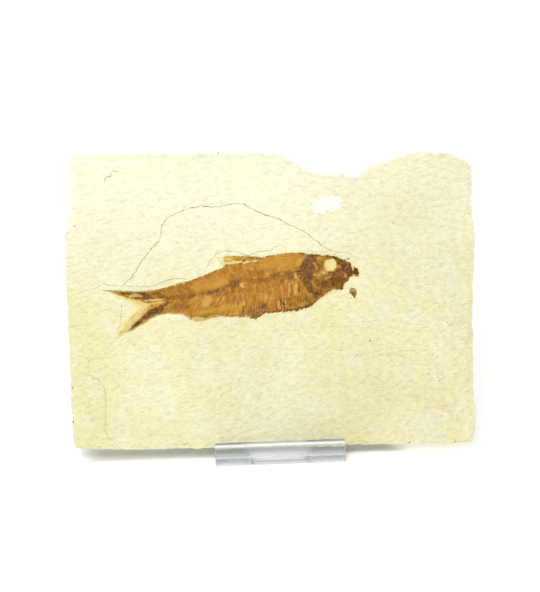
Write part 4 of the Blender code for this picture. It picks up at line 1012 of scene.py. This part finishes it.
def reachOf(s, w, step, slant):
    # how far a rib can run from the backbone before it leaves the fish
    reach = 0.0
    while reach < 13.0:
        at = np.array([(s + slant * (reach + 0.5), w + step * (reach + 0.5))])
        if not insideOf(at, fishShape)[0]:
            break
        reach += 0.25
    return reach


def ribLines():
    look, slant = ribLook, fishLook["ribSlant"]
    rng = np.random.default_rng(12)
    lines = []
    for s in np.arange(*look["ribs"]):
        s += rng.uniform(-0.25, 0.25)
        w = float(lineAt(backbone, s)) - (2.2 if s < 43.0 else 0.6)
        reach = reachOf(s, w, -1.0, slant) * rng.uniform(0.45, 0.93)
        bow = rng.uniform(0.2, 0.5)
        run = [(s + slant * reach * t + bow * math.sin(math.pi * t) * 0.5, w - reach * t)
               for t in np.linspace(0, 1, 6)]
        lines.append(fishLine(run, (look["girth"], look["girth"] * 0.9, 0.05)))
    return lines


def spineLines():
    # spines above the backbone, and below it too behind the ribs
    look, slant = ribLook, fishLook["spineSlant"]
    rng = np.random.default_rng(13)
    lines = []
    for s in np.arange(*look["spines"]):
        for way, least, most, girth in ((1.0, 0.55, 0.9, 0.8), (-1.0, 0.5, 0.85, 0.75)):
            if way < 0 and s <= look["lowSpinesFrom"]:
                continue
            w = float(lineAt(backbone, s)) + way * 0.4
            reach = reachOf(s, w, way, slant) * rng.uniform(least, most)
            run = [(s + slant * reach * t, w + way * reach * t) for t in np.linspace(0, 1, 5)]
            lines.append(fishLine(run, (look["girth"] * girth, 0.04)))
    return lines


onFish = {"Surface": fishRelief, "Lift": -0.05 * mm, "Step": 0.4 * mm, "Sides": 6}
onStone = {**onFish, "Surface": limestoneSlab, "Lift": 0.0}
runTree("ribs", strandTree, ribLines(), onFish, darkBone, True)
runTree("neuralSpines", strandTree, spineLines(), onFish, darkBone, True)

finRays = (  # (points, girths) of the fin and tail rays
    (((34.5, 10.5), (37.0, 11.0), (40.0, 11.5), (43.0, 12.0), (45.0, 12.5), (47.0, 12.9)),
     (0.14, 0.16, 0.08)), (((36.2, 10.1), (40.0, 10.8), (44.5, 11.5), (46.4, 12.0)), (0.12, 0.06)),
    (((38.0, 9.9), (41.5, 10.4), (44.5, 10.9)), (0.14, 0.05)), (((44.0, 8.7), (47.6, 9.8)), (0.1, 0.05)),
    (((35.0, 10.2), (39.0, 10.9), (43.0, 11.3), (47.8, 12.0)), (0.1, 0.12, 0.05)),
    (((40.0, 9.9), (44.0, 10.3), (48.8, 11.2)), (0.1, 0.12, 0.05)),
    (((43.0, 9.5), (46.0, 9.9), (49.4, 10.7)), (0.1, 0.05)),
    (((76.0, 3.9), (79.0, 4.4), (84.0, 5.4), (88.0, 6.3), (92.2, 7.3)), (0.25, 0.3, 0.12, 0.06)),
    (((76.5, 3.2), (81.0, 4.1), (86.0, 5.3), (89.6, 6.3)), (0.15, 0.05)),
    (((76.8, 2.5), (81.0, 3.1), (85.0, 4.0), (88.4, 5.3)), (0.16, 0.05)),
    (((77.0, 1.8), (80.0, 2.2), (83.4, 2.9), (86.0, 3.9)), (0.14, 0.05)),
    (((77.0, 1.2), (79.4, 1.4), (81.6, 1.9)), (0.12, 0.05)),
    (((70.0, -0.4), (72.5, -1.2), (75.0, -2.2), (77.5, -3.2), (80.0, -4.3), (82.5, -5.9), (84.5, -7.1),
     (88.6, -8.9)), (0.2, 0.34, 0.3, 0.06)),
    (((76.0, -1.6), (79.5, -3.1), (83.0, -5.4), (86.6, -7.8)), (0.15, 0.05)),
    (((76.4, -1.0), (79.6, -2.4), (83.0, -4.7), (86.4, -6.9)), (0.13, 0.05)),
    (((76.8, -0.5), (79.0, -1.5), (81.6, -3.3)), (0.12, 0.05)),
    (((73.0, -3.4), (77.0, -4.4), (81.0, -6.2)), (0.13, 0.05)),
    (((57.6, -6.2), (59.6, -7.4)), (0.1, 0.05)), (((59.0, -6.1), (61.0, -7.6)), (0.1, 0.05)),
    (((60.4, -6.0), (62.4, -7.2)), (0.1, 0.05)),
    (((36.0, -8.8), (38.4, -9.7), (39.8, -10.5)), (0.14, 0.05)),
    (((37.2, -8.4), (39.6, -9.4), (40.8, -9.9)), (0.12, 0.05)),
)
runTree("finRays", strandTree, [fishLine(*ray) for ray in finRays], {**onFish, "Lift": -0.03 * mm},
        darkBone, True)

tailEdges = (  # inner edges of the tail lobes: (s, w, how far out of them the pale rays reach)
    ((77.0, 0.2, -0.6), (80.0, 1.3, -1.5), (82.0, 2.0, -1.3), (85.0, 3.8, -0.8), (88.0, 5.3, -0.3),
     (89.6, 6.2, -0.1)),
    ((77.0, -0.2, 0.5), (80.0, -2.0, 1.5), (82.0, -3.4, 1.7), (85.0, -5.3, 1.3), (88.0, -7.9, 1.1),
     (90.4, -9.4, 0.3)),
)
fringes = {  # (from, to, side, pitch, length, how far out, girth) along the fish's edge
    "gold": (
        (20.0, 34.0, 1, 1.0, 1.3, 0.2, 0.13), (48.0, 76.0, 1, 0.75, 1.9, 0.3, 0.14),
        (44.0, 63.0, -1, 0.55, 2.6, 0.55, 0.15), (63.0, 74.0, -1, 0.9, 1.6, 0.25, 0.12),
        (10.0, 19.0, -1, 0.8, 1.2, 0.35, 0.15), (34.5, 47.0, 1, 0.8, 2.4, 0.3, 0.14),
        (36.0, 44.0, -1, 0.7, 2.0, 0.4, 0.15),
    ),
    "dark": (
        (19.4, 35.0, -1, 1.25, 1.5, 0.6, 0.24), (77.0, 91.0, 1, 0.9, 3.6, 0.22, 0.17),
        (74.0, 84.0, -1, 0.9, 2.2, 0.25, 0.17), (36.5, 41.0, -1, 0.9, 1.8, 0.6, 0.2),
        (48.0, 58.0, -1, 1.7, 2.2, 0.4, 0.12), (34.5, 44.0, 1, 1.5, 2.6, 0.3, 0.13),
        (3.4, 9.0, 1, 0.8, -0.9, 0.35, 0.2),
    ),
}
crumbs = {  # loose bits of bone and ray ends lying free on the stone: (points, girths)
    "gold": (
        (((45.6, 12.2), (48.0, 12.7), (50.8, 13.1)), (0.14, 0.12, 0.05)),
        (((45.4, 11.4), (47.6, 11.8), (50.2, 12.2)), (0.14, 0.12, 0.05)),
        (((45.0, 10.8), (47.4, 11.0), (49.8, 11.2)), (0.13, 0.05)),
        (((46.0, 10.2), (48.6, 10.5)), (0.1, 0.05)), (((60.6, -6.9), (62.8, -8.0)), (0.16, 0.05)),
    ),
    "dark": (
        (((2.3, 2.5), (2.6, 3.3), (2.5, 4.0)), (0.34, 0.4, 0.16)),
        (((2.7, 5.3), (3.3, 5.7)), (0.26, 0.2)), (((6.5, -4.7), (7.1, -5.5)), (0.36, 0.18)),
        (((8.2, -4.7), (8.5, -5.2)), (0.2, 0.12)), (((0.1, 0.9), (0.5, 1.5)), (0.3, 0.2)),
        (((0.2, -1.0), (0.8, -1.5)), (0.28, 0.16)), (((3.9, 5.0), (4.4, 5.5)), (0.2, 0.14)),
    ),
}


def edgeAt(s, side):
    # the fish's upper (1) or lower (-1) edge
    a, b = fishShape, np.roll(fishShape, -1, 0)
    s = np.clip(s, a[:, 0].min() + 0.2, a[:, 0].max() - 0.2)
    hit = (a[:, 0] - s) * (b[:, 0] - s) <= 0
    t = (s - a[hit, 0]) / (b[hit, 0] - a[hit, 0] + 1e-9)
    return float(side * (side * (a[hit, 1] + t * (b[hit, 1] - a[hit, 1]))).max())


def fringeLines(spans, seed):
    rng = np.random.default_rng(seed)
    lines = []
    for start, end, side, pitch, length, out, girth in spans:
        for s in np.arange(start, end, pitch):
            s += rng.uniform(-0.45, 0.45) * pitch
            reach, rise = length * rng.uniform(0.5, 1.2), side * out * rng.uniform(0.3, 1.2)
            run = [(s + reach * t, edgeAt(s + reach * t, side) - side * 0.2 * (1.0 - t) + rise * t)
                   for t in (0.0, 0.35, 0.7, 1.0)]
            lines.append(fishLine(run, (girth, girth * 1.2, 0.04)))
    return lines


def innerTailLines():
    rng = np.random.default_rng(17)
    lines = []
    for edge in tailEdges:
        s, w, reach = np.transpose(edge)
        for out in np.repeat(np.linspace(0.0, 1.0, 7), 3):
            start = rng.uniform(77.0, 84.0)
            along = np.linspace(start, min(start + rng.uniform(3.0, 6.5), s[-1]), 7)
            share = min(1.0, max(0.0, out + rng.uniform(-0.1, 0.1)))
            run = [(x, np.interp(x, s, w) + share * np.interp(x, s, reach)) for x in along]
            lines.append(fishLine(run, (0.12, 0.24 - 0.08 * share, 0.05)))
    return lines


for name, colours, kind, seed in (
    ("golden_fossil_bone", ("#D6A548", "#B98534"), "gold", 14),
    ("scute_bone", ("#8A6428", "#65461C"), "dark", 15),
):
    strands = fringeLines(fringes[kind], seed) + [fishLine(*crumb) for crumb in crumbs[kind]]
    fringeBone = makeBone(name, 1.0, colours)
    runTree(kind + "Fringe", strandTree, strands, onStone, fringeBone, True)
paleBone = makeBone("pale_fin_bone", 1.0, ("#F0D98C", "#DCB55F"))
runTree("paleTailRays", strandTree, innerTailLines(), {**onStone, "Lift": -0.08 * mm}, paleBone,
        True)


def scuteShape():
    # keeled belly scale, pointing back
    built = bmesh.new()
    tip = built.verts.new((0.75, 0.0, 0.05))
    ridge = [built.verts.new(p) for p in ((-0.5, 0.0, 0.28), (0.1, 0.0, 0.34))]
    side = [[built.verts.new((x, k * y, -0.15)) for x, y in ((-0.5, 0.34), (0.1, 0.42))] for k in (1, -1)]
    for left in side:
        built.faces.new((ridge[0], ridge[1], left[1], left[0]))
        built.faces.new((ridge[1], tip, left[1]))
    built.faces.new((ridge[0], side[0][0], side[1][0]))
    built.faces.new((side[0][0], side[0][1], tip, side[1][1], side[1][0]))
    bmesh.ops.recalc_face_normals(built, faces=built.faces)
    return asShape("scuteShape", built)


scuteLook = {"count": 19, "unevenness": 0.25}
keel = ((18.6, -8.9), (21.0, -9.4), (24.0, -9.7), (28.0, -9.6), (32.0, -9.3), (36.0, -9.3))
runTree("bellyScutes", beadTree, [fishLine(keel, (0.9, 1.0, 0.8))], {
    "Surface": fishRelief, "Shape": scuteShape(), "Lift": 0.0, "Count": scuteLook["count"],
    "Unevenness": scuteLook["unevenness"], "Seed": 9,
}, darkBone, True)

cracks = (  # points along each hairline on the face
    ((-66.3, 59.9), (-62.4, 61.5), (-55.2, 60.6), (-53.4, 62.7), (-52.3, 63.2), (-48.4, 68.8),
     (-45.3, 72.8), (-41.7, 76.2), (-40.8, 78.7), (-40.4, 82.0), (-37.9, 85.1), (-30.8, 88.0),
     (-26.0, 88.7), (-19.1, 88.2), (-13.8, 89.2), (-10.3, 88.8), (-5.7, 86.5), (-2.4, 84.7), (1.2, 83.7),
     (5.2, 81.4), (8.1, 79.9), (11.9, 77.9), (15.6, 74.7), (20.0, 71.3), (22.7, 70.4), (28.4, 69.3),
     (32.0, 66.6)),
    ((-55.3, 60.6), (-47.0, 60.0), (-43.6, 60.2), (-41.1, 61.5), (-36.4, 62.6), (-29.4, 61.7)),
    ((-25.9, 63.9), (-23.4, 67.9), (-20.6, 71.3), (-17.5, 71.8), (-14.6, 71.8), (-9.1, 70.1),
     (-4.3, 71.4), (-0.5, 71.5), (1.0, 72.9), (3.3, 73.3), (5.6, 72.0)),
    ((13.0, 71.1), (18.0, 70.5), (22.7, 70.4)),
    ((-60.4, 98.1), (-60.2, 99.8), (-59.5, 100.8), (-58.3, 100.8), (-57.9, 102.0), (-56.8, 102.9),
     (-56.3, 102.2), (-55.2, 102.3), (-54.4, 101.4)), ((-72.8, 83.9), (-71.3, 81.7)),
    ((-75.1, 35.2), (-72.5, 35.6), (-70.1, 35.1), (-69.0, 33.8), (-68.8, 31.4), (-68.6, 28.7),
     (-66.1, 26.9), (-63.7, 24.3), (-63.0, 21.0), (-63.2, 14.0), (-64.3, 8.2), (-62.4, 5.2), (-60.8, 3.5),
     (-59.7, 2.7), (-58.1, 3.1), (-55.1, 3.4)),
    ((-56.0, 54.4), (-56.4, 50.2), (-56.8, 46.0), (-58.1, 44.4), (-59.6, 42.5)),
    ((-59.7, 54.2), (-60.3, 52.2)), ((-40.2, 2.4), (-35.8, 1.9), (-31.1, 2.0)),
)
crackDepth = (1.0, 0.6, 0.6, 0.5, 0.8, 0.6, 0.45, 0.4, 0.5, 0.7)  # how open each one is
crackGirth = 0.12


def crackLines():
    rng = np.random.default_rng(31)
    lines = []
    for line, depth in zip(cracks, crackDepth):
        fine = []
        for a, b in zip(np.array(line)[:-1], np.array(line)[1:]):
            count = max(2, round(math.dist(a, b) / 0.9))
            fine += [a + (b - a) * k / count + rng.normal(0, 0.14, 2) for k in range(count)]
        toEnd = np.minimum(np.linspace(0.05, 1, len(fine)), np.linspace(1, 0.05, len(fine)))
        girths = crackGirth * depth * np.minimum(1.0, 6.0 * toEnd) * rng.uniform(0.4, 1.3, len(fine))
        lines.append(np.column_stack((np.array(fine), girths)))
    return lines


# Clay and iron stain in a shrinkage crack: dull brown hairlines, uneven in depth
crackFill = makeMineral("iron_stained_crack", "#7A6A48", "#B8A878", 0.6, 400.0, 0.9)
runTree("hairlineCracks", strandTree, crackLines(), {**onStone, "Step": 0.45 * mm, "Sides": 4}, crackFill)


def makeSpeckTree():
    # mineral grains: some placed, more scattered thinly over the surface
    tree, given = newTree("specksOnSurface", (
        ("Surface", "Object"), ("Shape", "Object"), ("Outward", "Vector"), ("Lift", "Float"),
        ("Density", "Float"), ("Smallest", "Float"), ("Largest", "Float"), ("Seed", "Int"),
        ("Material", "Material")))
    surface = addNode(tree, "GeometryNodeObjectInfo", {"Object": given["Surface"]})
    facing = addNode(tree, "GeometryNodeInputNormal")
    outwards = addNode(tree, "ShaderNodeVectorMath", {
        0: facing.outputs[0], 1: given["Outward"]}, operation="DOT_PRODUCT")
    front = addNode(tree, "FunctionNodeCompare", {
        0: outwards.outputs["Value"], 1: 0.85}, data_type="FLOAT", operation="GREATER_THAN")
    scattered = addNode(tree, "GeometryNodeDistributePointsOnFaces", {
        "Mesh": surface.outputs["Geometry"], "Selection": front.outputs[0], "Density": given["Density"],
        "Seed": given["Seed"]})
    small = addNode(tree, "FunctionNodeRandomValue", {
        2: given["Smallest"], 3: given["Largest"], "Seed": given["Seed"]}, data_type="FLOAT")
    dropped = dropOnSurface(tree, given, given["Geometry"])
    placed = addNode(tree, "GeometryNodeMeshToPoints", {"Mesh": dropped})
    girth = addNode(tree, "GeometryNodeInputNamedAttribute", {"Name": "girth"}, data_type="FLOAT")
    shape = addNode(tree, "GeometryNodeObjectInfo", {"Object": given["Shape"]})
    spin = addNode(tree, "FunctionNodeRandomValue", {
        1: (6.28, 6.28, 6.28), "Seed": given["Seed"]}, data_type="FLOAT_VECTOR")
    sized = ((scattered.outputs["Points"], small.outputs[1]), (placed.outputs[0], girth.outputs[0]))
    copies = [addNode(tree, "GeometryNodeInstanceOnPoints", {
        "Points": points, "Instance": shape.outputs["Geometry"], "Rotation": spin.outputs[0], "Scale": size,
    }) for points, size in sized]
    joined = tree.nodes.new("GeometryNodeJoinGeometry")
    for made in copies:
        tree.links.new(made.outputs[0], joined.inputs[0])
    finishTree(tree, given, joined.outputs[0])
    return tree


def grainShape():
    # angular grain of a few faces
    built = bmesh.new()
    bmesh.ops.create_icosphere(built, subdivisions=1, radius=1.0)
    for corner in built.verts:
        corner.co *= 0.8 + 0.35 * noise.noise(corner.co * 3.1)
        corner.co.x *= 1.5
    return asShape("grainShape", built)


# Hematite and manganese grains: near black against the stone, with a dull rusty sheen
hematite = makeMineral("hematite_grain", "#3A2C1A", "#6A5A3A", 0.7, 3000.0, 0.6)
speckLook = {"perSquareMetre": 9000.0, "smallest": 0.03, "largest": 0.1}
specks = (  # (u, v, radius) of the larger dark grains
    (-18.6, 107.9, 0.22), (-41.0, 91.6, 0.2), (44.3, 79.9, 0.2), (59.0, 50.3, 0.2), (62.4, 50.4, 0.2),
    (62.7, 42.9, 0.24), (34.3, 37.2, 0.3), (65.2, 33.4, 0.2), (67.1, 31.2, 0.18), (29.5, 32.3, 0.2),
    (58.9, 30.8, 0.2), (59.1, 21.8, 0.2), (47.5, -0.6, 0.3), (64.3, -0.8, 0.25), (31.5, 0.1, 0.3),
    (32.4, 0.0, 0.22), (-75.4, 11.5, 0.3), (-75.1, 24.0, 0.3),
)
runTree("mineralSpecks", makeSpeckTree(), [[speck] for speck in specks], {
    "Surface": limestoneSlab, "Shape": grainShape(), "Lift": 0.0, "Density": speckLook["perSquareMetre"],
    "Smallest": speckLook["smallest"] * mm, "Largest": speckLook["largest"] * mm, "Seed": 17,
}, hematite)

# One strip of sheet, seen from the side: y back from the front of the lip, z up from the table
standLook = {
    "sheet": 3.0, "wide": 47.5, "lipLean": 8.0, "lipHigh": 8.9, "bendIn": 1.0, "backLong": 60.0,
    "windowLong": 45.0, "windowHalf": 11.8, "windowFront": 5.0, "windowRound": 2.9,
    "legHalf": 11.0, "legSpread": 49.0, "legBendIn": 1.5, "topCorner": 6.0, "steps": 22,
    "edge": 0.3, "sharpFrom": 40.0, "gap": 0.3, "cornerSteps": 12, "legStrips": 9,
}


def bendPairs(centre, inner, start, end):
    # (inside, outside) points round one bend of the sheet
    turns = [start + (end - start) * i / standLook["steps"] for i in range(standLook["steps"] + 1)]
    ways = [Vector((math.cos(a), math.sin(a))) for a in turns]
    return [(centre + way * inner, centre + way * (inner + standLook["sheet"])) for way in ways]


def stripPairs():
    # down the lip, along the ledge and up the back; and which pairs start and end the window
    look = standLook
    sheet, bend, tilt = look["sheet"], look["bendIn"] + look["sheet"], math.radians(look["lipLean"])
    front = bendPairs(Vector((bend, bend)), look["bendIn"], math.pi + tilt, 1.5 * math.pi)
    outOfLip = Vector((-math.sin(tilt), math.cos(tilt)))
    lip = tuple(p + outOfLip * (look["lipHigh"] - front[0][1].y) / outOfLip.y for p in front[0])
    windowStart = tuple(Vector((look["windowFront"] + look["windowRound"], z)) for z in (sheet, 0.0))
    footBack = placing["footY"] + placing["thick"] * math.cos(lean)
    turn = 0.5 * math.pi - lean
    rearY = footBack + look["gap"] / math.cos(lean) - look["gap"] * math.tan(lean)
    rearY -= look["bendIn"] * math.tan(turn / 2)
    rear = bendPairs(Vector((rearY, bend)), look["bendIn"], 1.5 * math.pi, 1.5 * math.pi + turn)
    rise = Vector((math.sin(lean), math.cos(lean)))
    pairs = [lip, *front, windowStart, *rear]
    first = len(front) + 1
    pairs.append(tuple(p + rise * look["windowLong"] for p in rear[-1]))
    last = len(pairs) - 1
    for i in range(look["cornerSteps"] + 1):
        share = i / look["cornerSteps"]
        along = look["backLong"] - look["topCorner"] * (1.0 - math.sin(0.5 * math.pi * share))
        pairs.append(tuple(p + rise * along for p in rear[-1]))
    return pairs, first, last


def legPairs(start):
    # from the top of the window, bent backwards and down to the table
    look = standLook
    inside, outside = start
    toRear = (outside - inside).normalized()
    angle, spread = math.atan2(-toRear.y, -toRear.x), math.radians(look["legSpread"])
    pairs = bendPairs(outside + toRear * look["legBendIn"], look["legBendIn"], angle, angle + spread)[1:]
    down = Vector((-math.sin(lean), -math.cos(lean)))
    down.rotate(Matrix.Rotation(spread, 2))
    return [(far, near) for near, far in pairs], down


def buildStand():
    look = standLook
    mesh = bmesh.new()
    pairs, first, last = stripPairs()
    half, window, legHalf = look["wide"] / 2, look["windowHalf"], look["legHalf"]
    turns = np.linspace(0.0, 0.5 * math.pi, look["legStrips"] + 1).tolist()
    inner = [legHalf * math.sin(turn) for turn in turns]
    lines = [-x for x in reversed(inner[1:] + [window, half])] + inner + [window, half]
    origin = Vector((float(slabOrigin[0]) / mm, standLow.y / mm + placing["lipOut"], 0.0))

    def row(pair, widest=half):
        across = [math.copysign(min(abs(x), widest), x) for x in lines]
        return [tuple(mesh.verts.new(origin + Vector((x, p.x, p.y))) for p in pair) for x in across]

    rows = []
    for i, pair in enumerate(pairs):  # the top corners are rounded
        past = max(0, i - len(pairs) + look["cornerSteps"] + 1) / look["cornerSteps"]
        rows.append(row(pair, half - look["topCorner"] * (1.0 - math.cos(0.5 * math.pi * past))))
    arch = [look["windowRound"] * math.sqrt(max(0.0, 1.0 - (x / window) ** 2)) for x in lines]
    for forward, pair in zip(arch, rows[first]):  # the window's front edge is an arc
        for corner in pair:
            corner.co.y -= forward
    bentLeg, down = legPairs(pairs[last])
    leg = [rows[last]] + [row(pair) for pair in bentLeg]
    ends = [[p + down * (p.y / -down.y - look["windowRound"] + forward) for p in bentLeg[-1]]
            for forward in arch]
    leg.append([tuple(mesh.verts.new(origin + Vector((x, e.x, e.y))) for e in pair)
                for x, pair in zip(lines, ends)])

    def addStrip(upper, lower, kept):
        for i in range(len(lines) - 1):
            if not kept(i):
                continue
            a, b, c, d = upper[i], upper[i + 1], lower[i + 1], lower[i]
            mesh.faces.new([p[0] for p in (a, b, c, d)])
            mesh.faces.new([p[1] for p in (d, c, b, a)])
            if i == 0 or not kept(i - 1):
                mesh.faces.new((a[0], d[0], d[1], a[1]))
            if i == len(lines) - 2 or not kept(i + 1):
                mesh.faces.new((b[1], c[1], c[0], b[0]))

    def addEnd(line, kept):
        for i in range(len(lines) - 1):
            if kept(i):
                mesh.faces.new((line[i][0], line[i][1], line[i + 1][1], line[i + 1][0]))

    def middle(i):
        return abs(lines[i] + lines[i + 1]) / 2

    for i, (upper, lower) in enumerate(zip(rows, rows[1:])):
        addStrip(upper, lower, (lambda k: middle(k) > window) if first <= i < last else (lambda k: True))
    for upper, lower in zip(leg, leg[1:]):
        addStrip(upper, lower, lambda k: middle(k) < legHalf)
    addEnd(rows[0], lambda k: True)
    addEnd(rows[first], lambda k: middle(k) < window)
    addEnd(rows[last], lambda k: legHalf < middle(k) < window)
    addEnd(rows[-1], lambda k: True)
    addEnd(leg[-1], lambda k: middle(k) < legHalf)
    bmesh.ops.delete(mesh, geom=[v for v in mesh.verts if not v.link_faces], context="VERTS")
    bmesh.ops.recalc_face_normals(mesh, faces=mesh.faces)
    sharp = [e for e in mesh.edges if e.calc_face_angle(0.0) > math.radians(look["sharpFrom"])]
    bmesh.ops.bevel(mesh, geom=sharp, offset=look["edge"], offset_type="OFFSET", segments=3, profile=0.5,
                    affect="EDGES", clamp_overlap=True)
    bmesh.ops.scale(mesh, vec=(mm, mm, mm), verts=mesh.verts)
    data = bpy.data.meshes.new("acrylicStand")
    mesh.to_mesh(data)
    mesh.free()
    data.materials.append(acrylic)
    return ridePiece(addObject("acrylicStand", data))


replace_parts(buildStand(), "stand")

# Plain matt white table with a painted glow (emission) of its own; the glow is left out under the slab,
# where the colour is also painted darker, as a painted shadow, and comes back as painted light under the
# stand's window
floorLook = {
    "half": 40.0, "white": 0.95, "shaded": 0.76, "rough": 0.9, "glow": 0.32, "shadeAt": (-13.0, -7.0),
    "shade": ((52.0, 64.0), (9.0, 13.0)), "windowX": (10.0, 13.0), "windowY": (-15.5, -11.0),
}


def makeTable():
    look = floorLook
    material, tree, surface = newMaterial("white_table_painted_glow_and_shadow")
    surface.inputs["Base Color"].default_value = (look["white"], look["white"], look["white"], 1.0)
    surface.inputs["Roughness"].default_value = look["rough"]
    surface.inputs["Specular IOR Level"].default_value = 0.0
    surface.inputs["Emission Color"].default_value = (1.0, 1.0, 1.0, 1.0)
    place = addNode(tree, "ShaderNodeTexCoord").outputs["Object"]
    x, y = addNode(tree, "ShaderNodeSeparateXYZ", {0: place}).outputs[:2]
    outer = []
    for axis, middle, (near, far) in zip((x, y), look["shadeAt"], look["shade"]):
        off = addNode(tree, "ShaderNodeMath", {0: axis, 1: -middle * mm}, operation="ADD")
        away = addNode(tree, "ShaderNodeMath", {0: off.outputs[0]}, operation="ABSOLUTE")
        outer.append(addNode(tree, "ShaderNodeMapRange", {
            "Value": away.outputs[0], "From Min": near * mm, "From Max": far * mm, "To Max": look["glow"],
        }, interpolation_type="SMOOTHSTEP").outputs[0])
    around = addNode(tree, "ShaderNodeMath", {0: outer[0], 1: outer[1]}, operation="MAXIMUM")
    # painted pool of light: the table's glow comes back under the stand's window, where light would pass
    # through the clear sheet
    beside = addNode(tree, "ShaderNodeMath", {0: x}, operation="ABSOLUTE")
    across, ahead = (addNode(tree, "ShaderNodeMapRange", {
        "Value": value, "From Min": near * mm, "From Max": far * mm, "To Min": most, "To Max": 0.0,
    }).outputs[0] for value, (near, far), most in (
        (beside.outputs[0], look["windowX"], 1.0), (y, look["windowY"], look["glow"])))
    through = addNode(tree, "ShaderNodeMath", {0: across, 1: ahead}, operation="MULTIPLY")
    fill = addNode(tree, "ShaderNodeMath", {
        0: around.outputs[0], 1: through.outputs[0]}, operation="MAXIMUM")
    # painted glow: the table gives off light of its own, except under the slab, where it is left out as a
    # painted shadow
    tree.links.new(fill.outputs[0], surface.inputs["Emission Strength"])
    # painted shadow: the table's colour is darker where the glow is left out
    shaded = addNode(tree, "ShaderNodeMapRange", {
        "Value": fill.outputs[0], "From Max": look["glow"],
        "To Min": look["shaded"], "To Max": look["white"]})
    tree.links.new(shaded.outputs[0], surface.inputs["Base Color"])
    return material


floorMesh = bpy.data.meshes.new("floor")
floorCorners = np.array(((-1, -1, 0), (1, -1, 0), (1, 1, 0), (-1, 1, 0))) * floorLook["half"]
floorCorners -= (0.0, 0.0, 0.1 * mm)  # clear of the stand, which touches the ground plane
floorMesh.from_pydata(floorCorners.tolist(), [], [(0, 1, 2, 3)])
floorMesh.materials.append(makeTable())
addObject("floor", floorMesh)

# Studio light: an even pale surround and one softbox above the camera
lightLook = {
    "around": 0.72, "keyAt": (-0.08, -0.44, 0.36), "keyAim": (0.0, 55.0, 0.0),
    "keySize": 0.14, "keyPower": 1.55,
}
world = bpy.data.worlds.new("studio")
world.use_nodes = True
surround = world.node_tree.nodes["Background"]
surround.inputs["Color"].default_value = (1.0, 1.0, 1.0, 1.0)
surround.inputs["Strength"].default_value = lightLook["around"]
bpy.context.scene.world = world
keyData = bpy.data.lights.new("key", "AREA")
keyData.size = lightLook["keySize"]
keyData.energy = lightLook["keyPower"]
key = addObject("key", keyData)
key.location = lightLook["keyAt"]
aim = Vector(onSlab([lightLook["keyAim"]])[0])
key.rotation_euler = (aim - key.location).to_track_quat("-Z", "Y").to_euler()
bpy.context.scene.view_settings.view_transform = "Standard"

cameraLook = {"aim": (-1.65, 54.96, 0.0), "distance": 650.0, "elevation": 19.0, "roll": 2.1, "lens": 118.4}
rise, roll = math.radians(cameraLook["elevation"]), math.radians(cameraLook["roll"])
back = Vector((0.0, -math.cos(rise), math.sin(rise)))
up = Vector((0.0, math.sin(rise), math.cos(rise)))
right = Vector((1.0, 0.0, 0.0))
cameraData = bpy.data.cameras.new("camera")
cameraData.lens = cameraLook["lens"]
cameraData.sensor_width = 36.0
cameraData.sensor_fit = "HORIZONTAL"
camera = addObject("camera", cameraData)
rolled = (right * math.cos(roll) - up * math.sin(roll), up * math.cos(roll) + right * math.sin(roll), back)
stood = Vector(onSlab([cameraLook["aim"]])[0]) + back * cameraLook["distance"] * mm
camera.matrix_world = Matrix.Translation(stood) @ Matrix(rolled).transposed().to_4x4()
bpy.context.scene.camera = camera
bpy.context.scene.cycles.max_bounces = 32  # light finds its way through the bent sheet
bpy.context.scene.cycles.transmission_bounces = 32
bpy.context.scene.cycles.glossy_bounces = 32  # each reflection inside it counts as one
print("stage set")
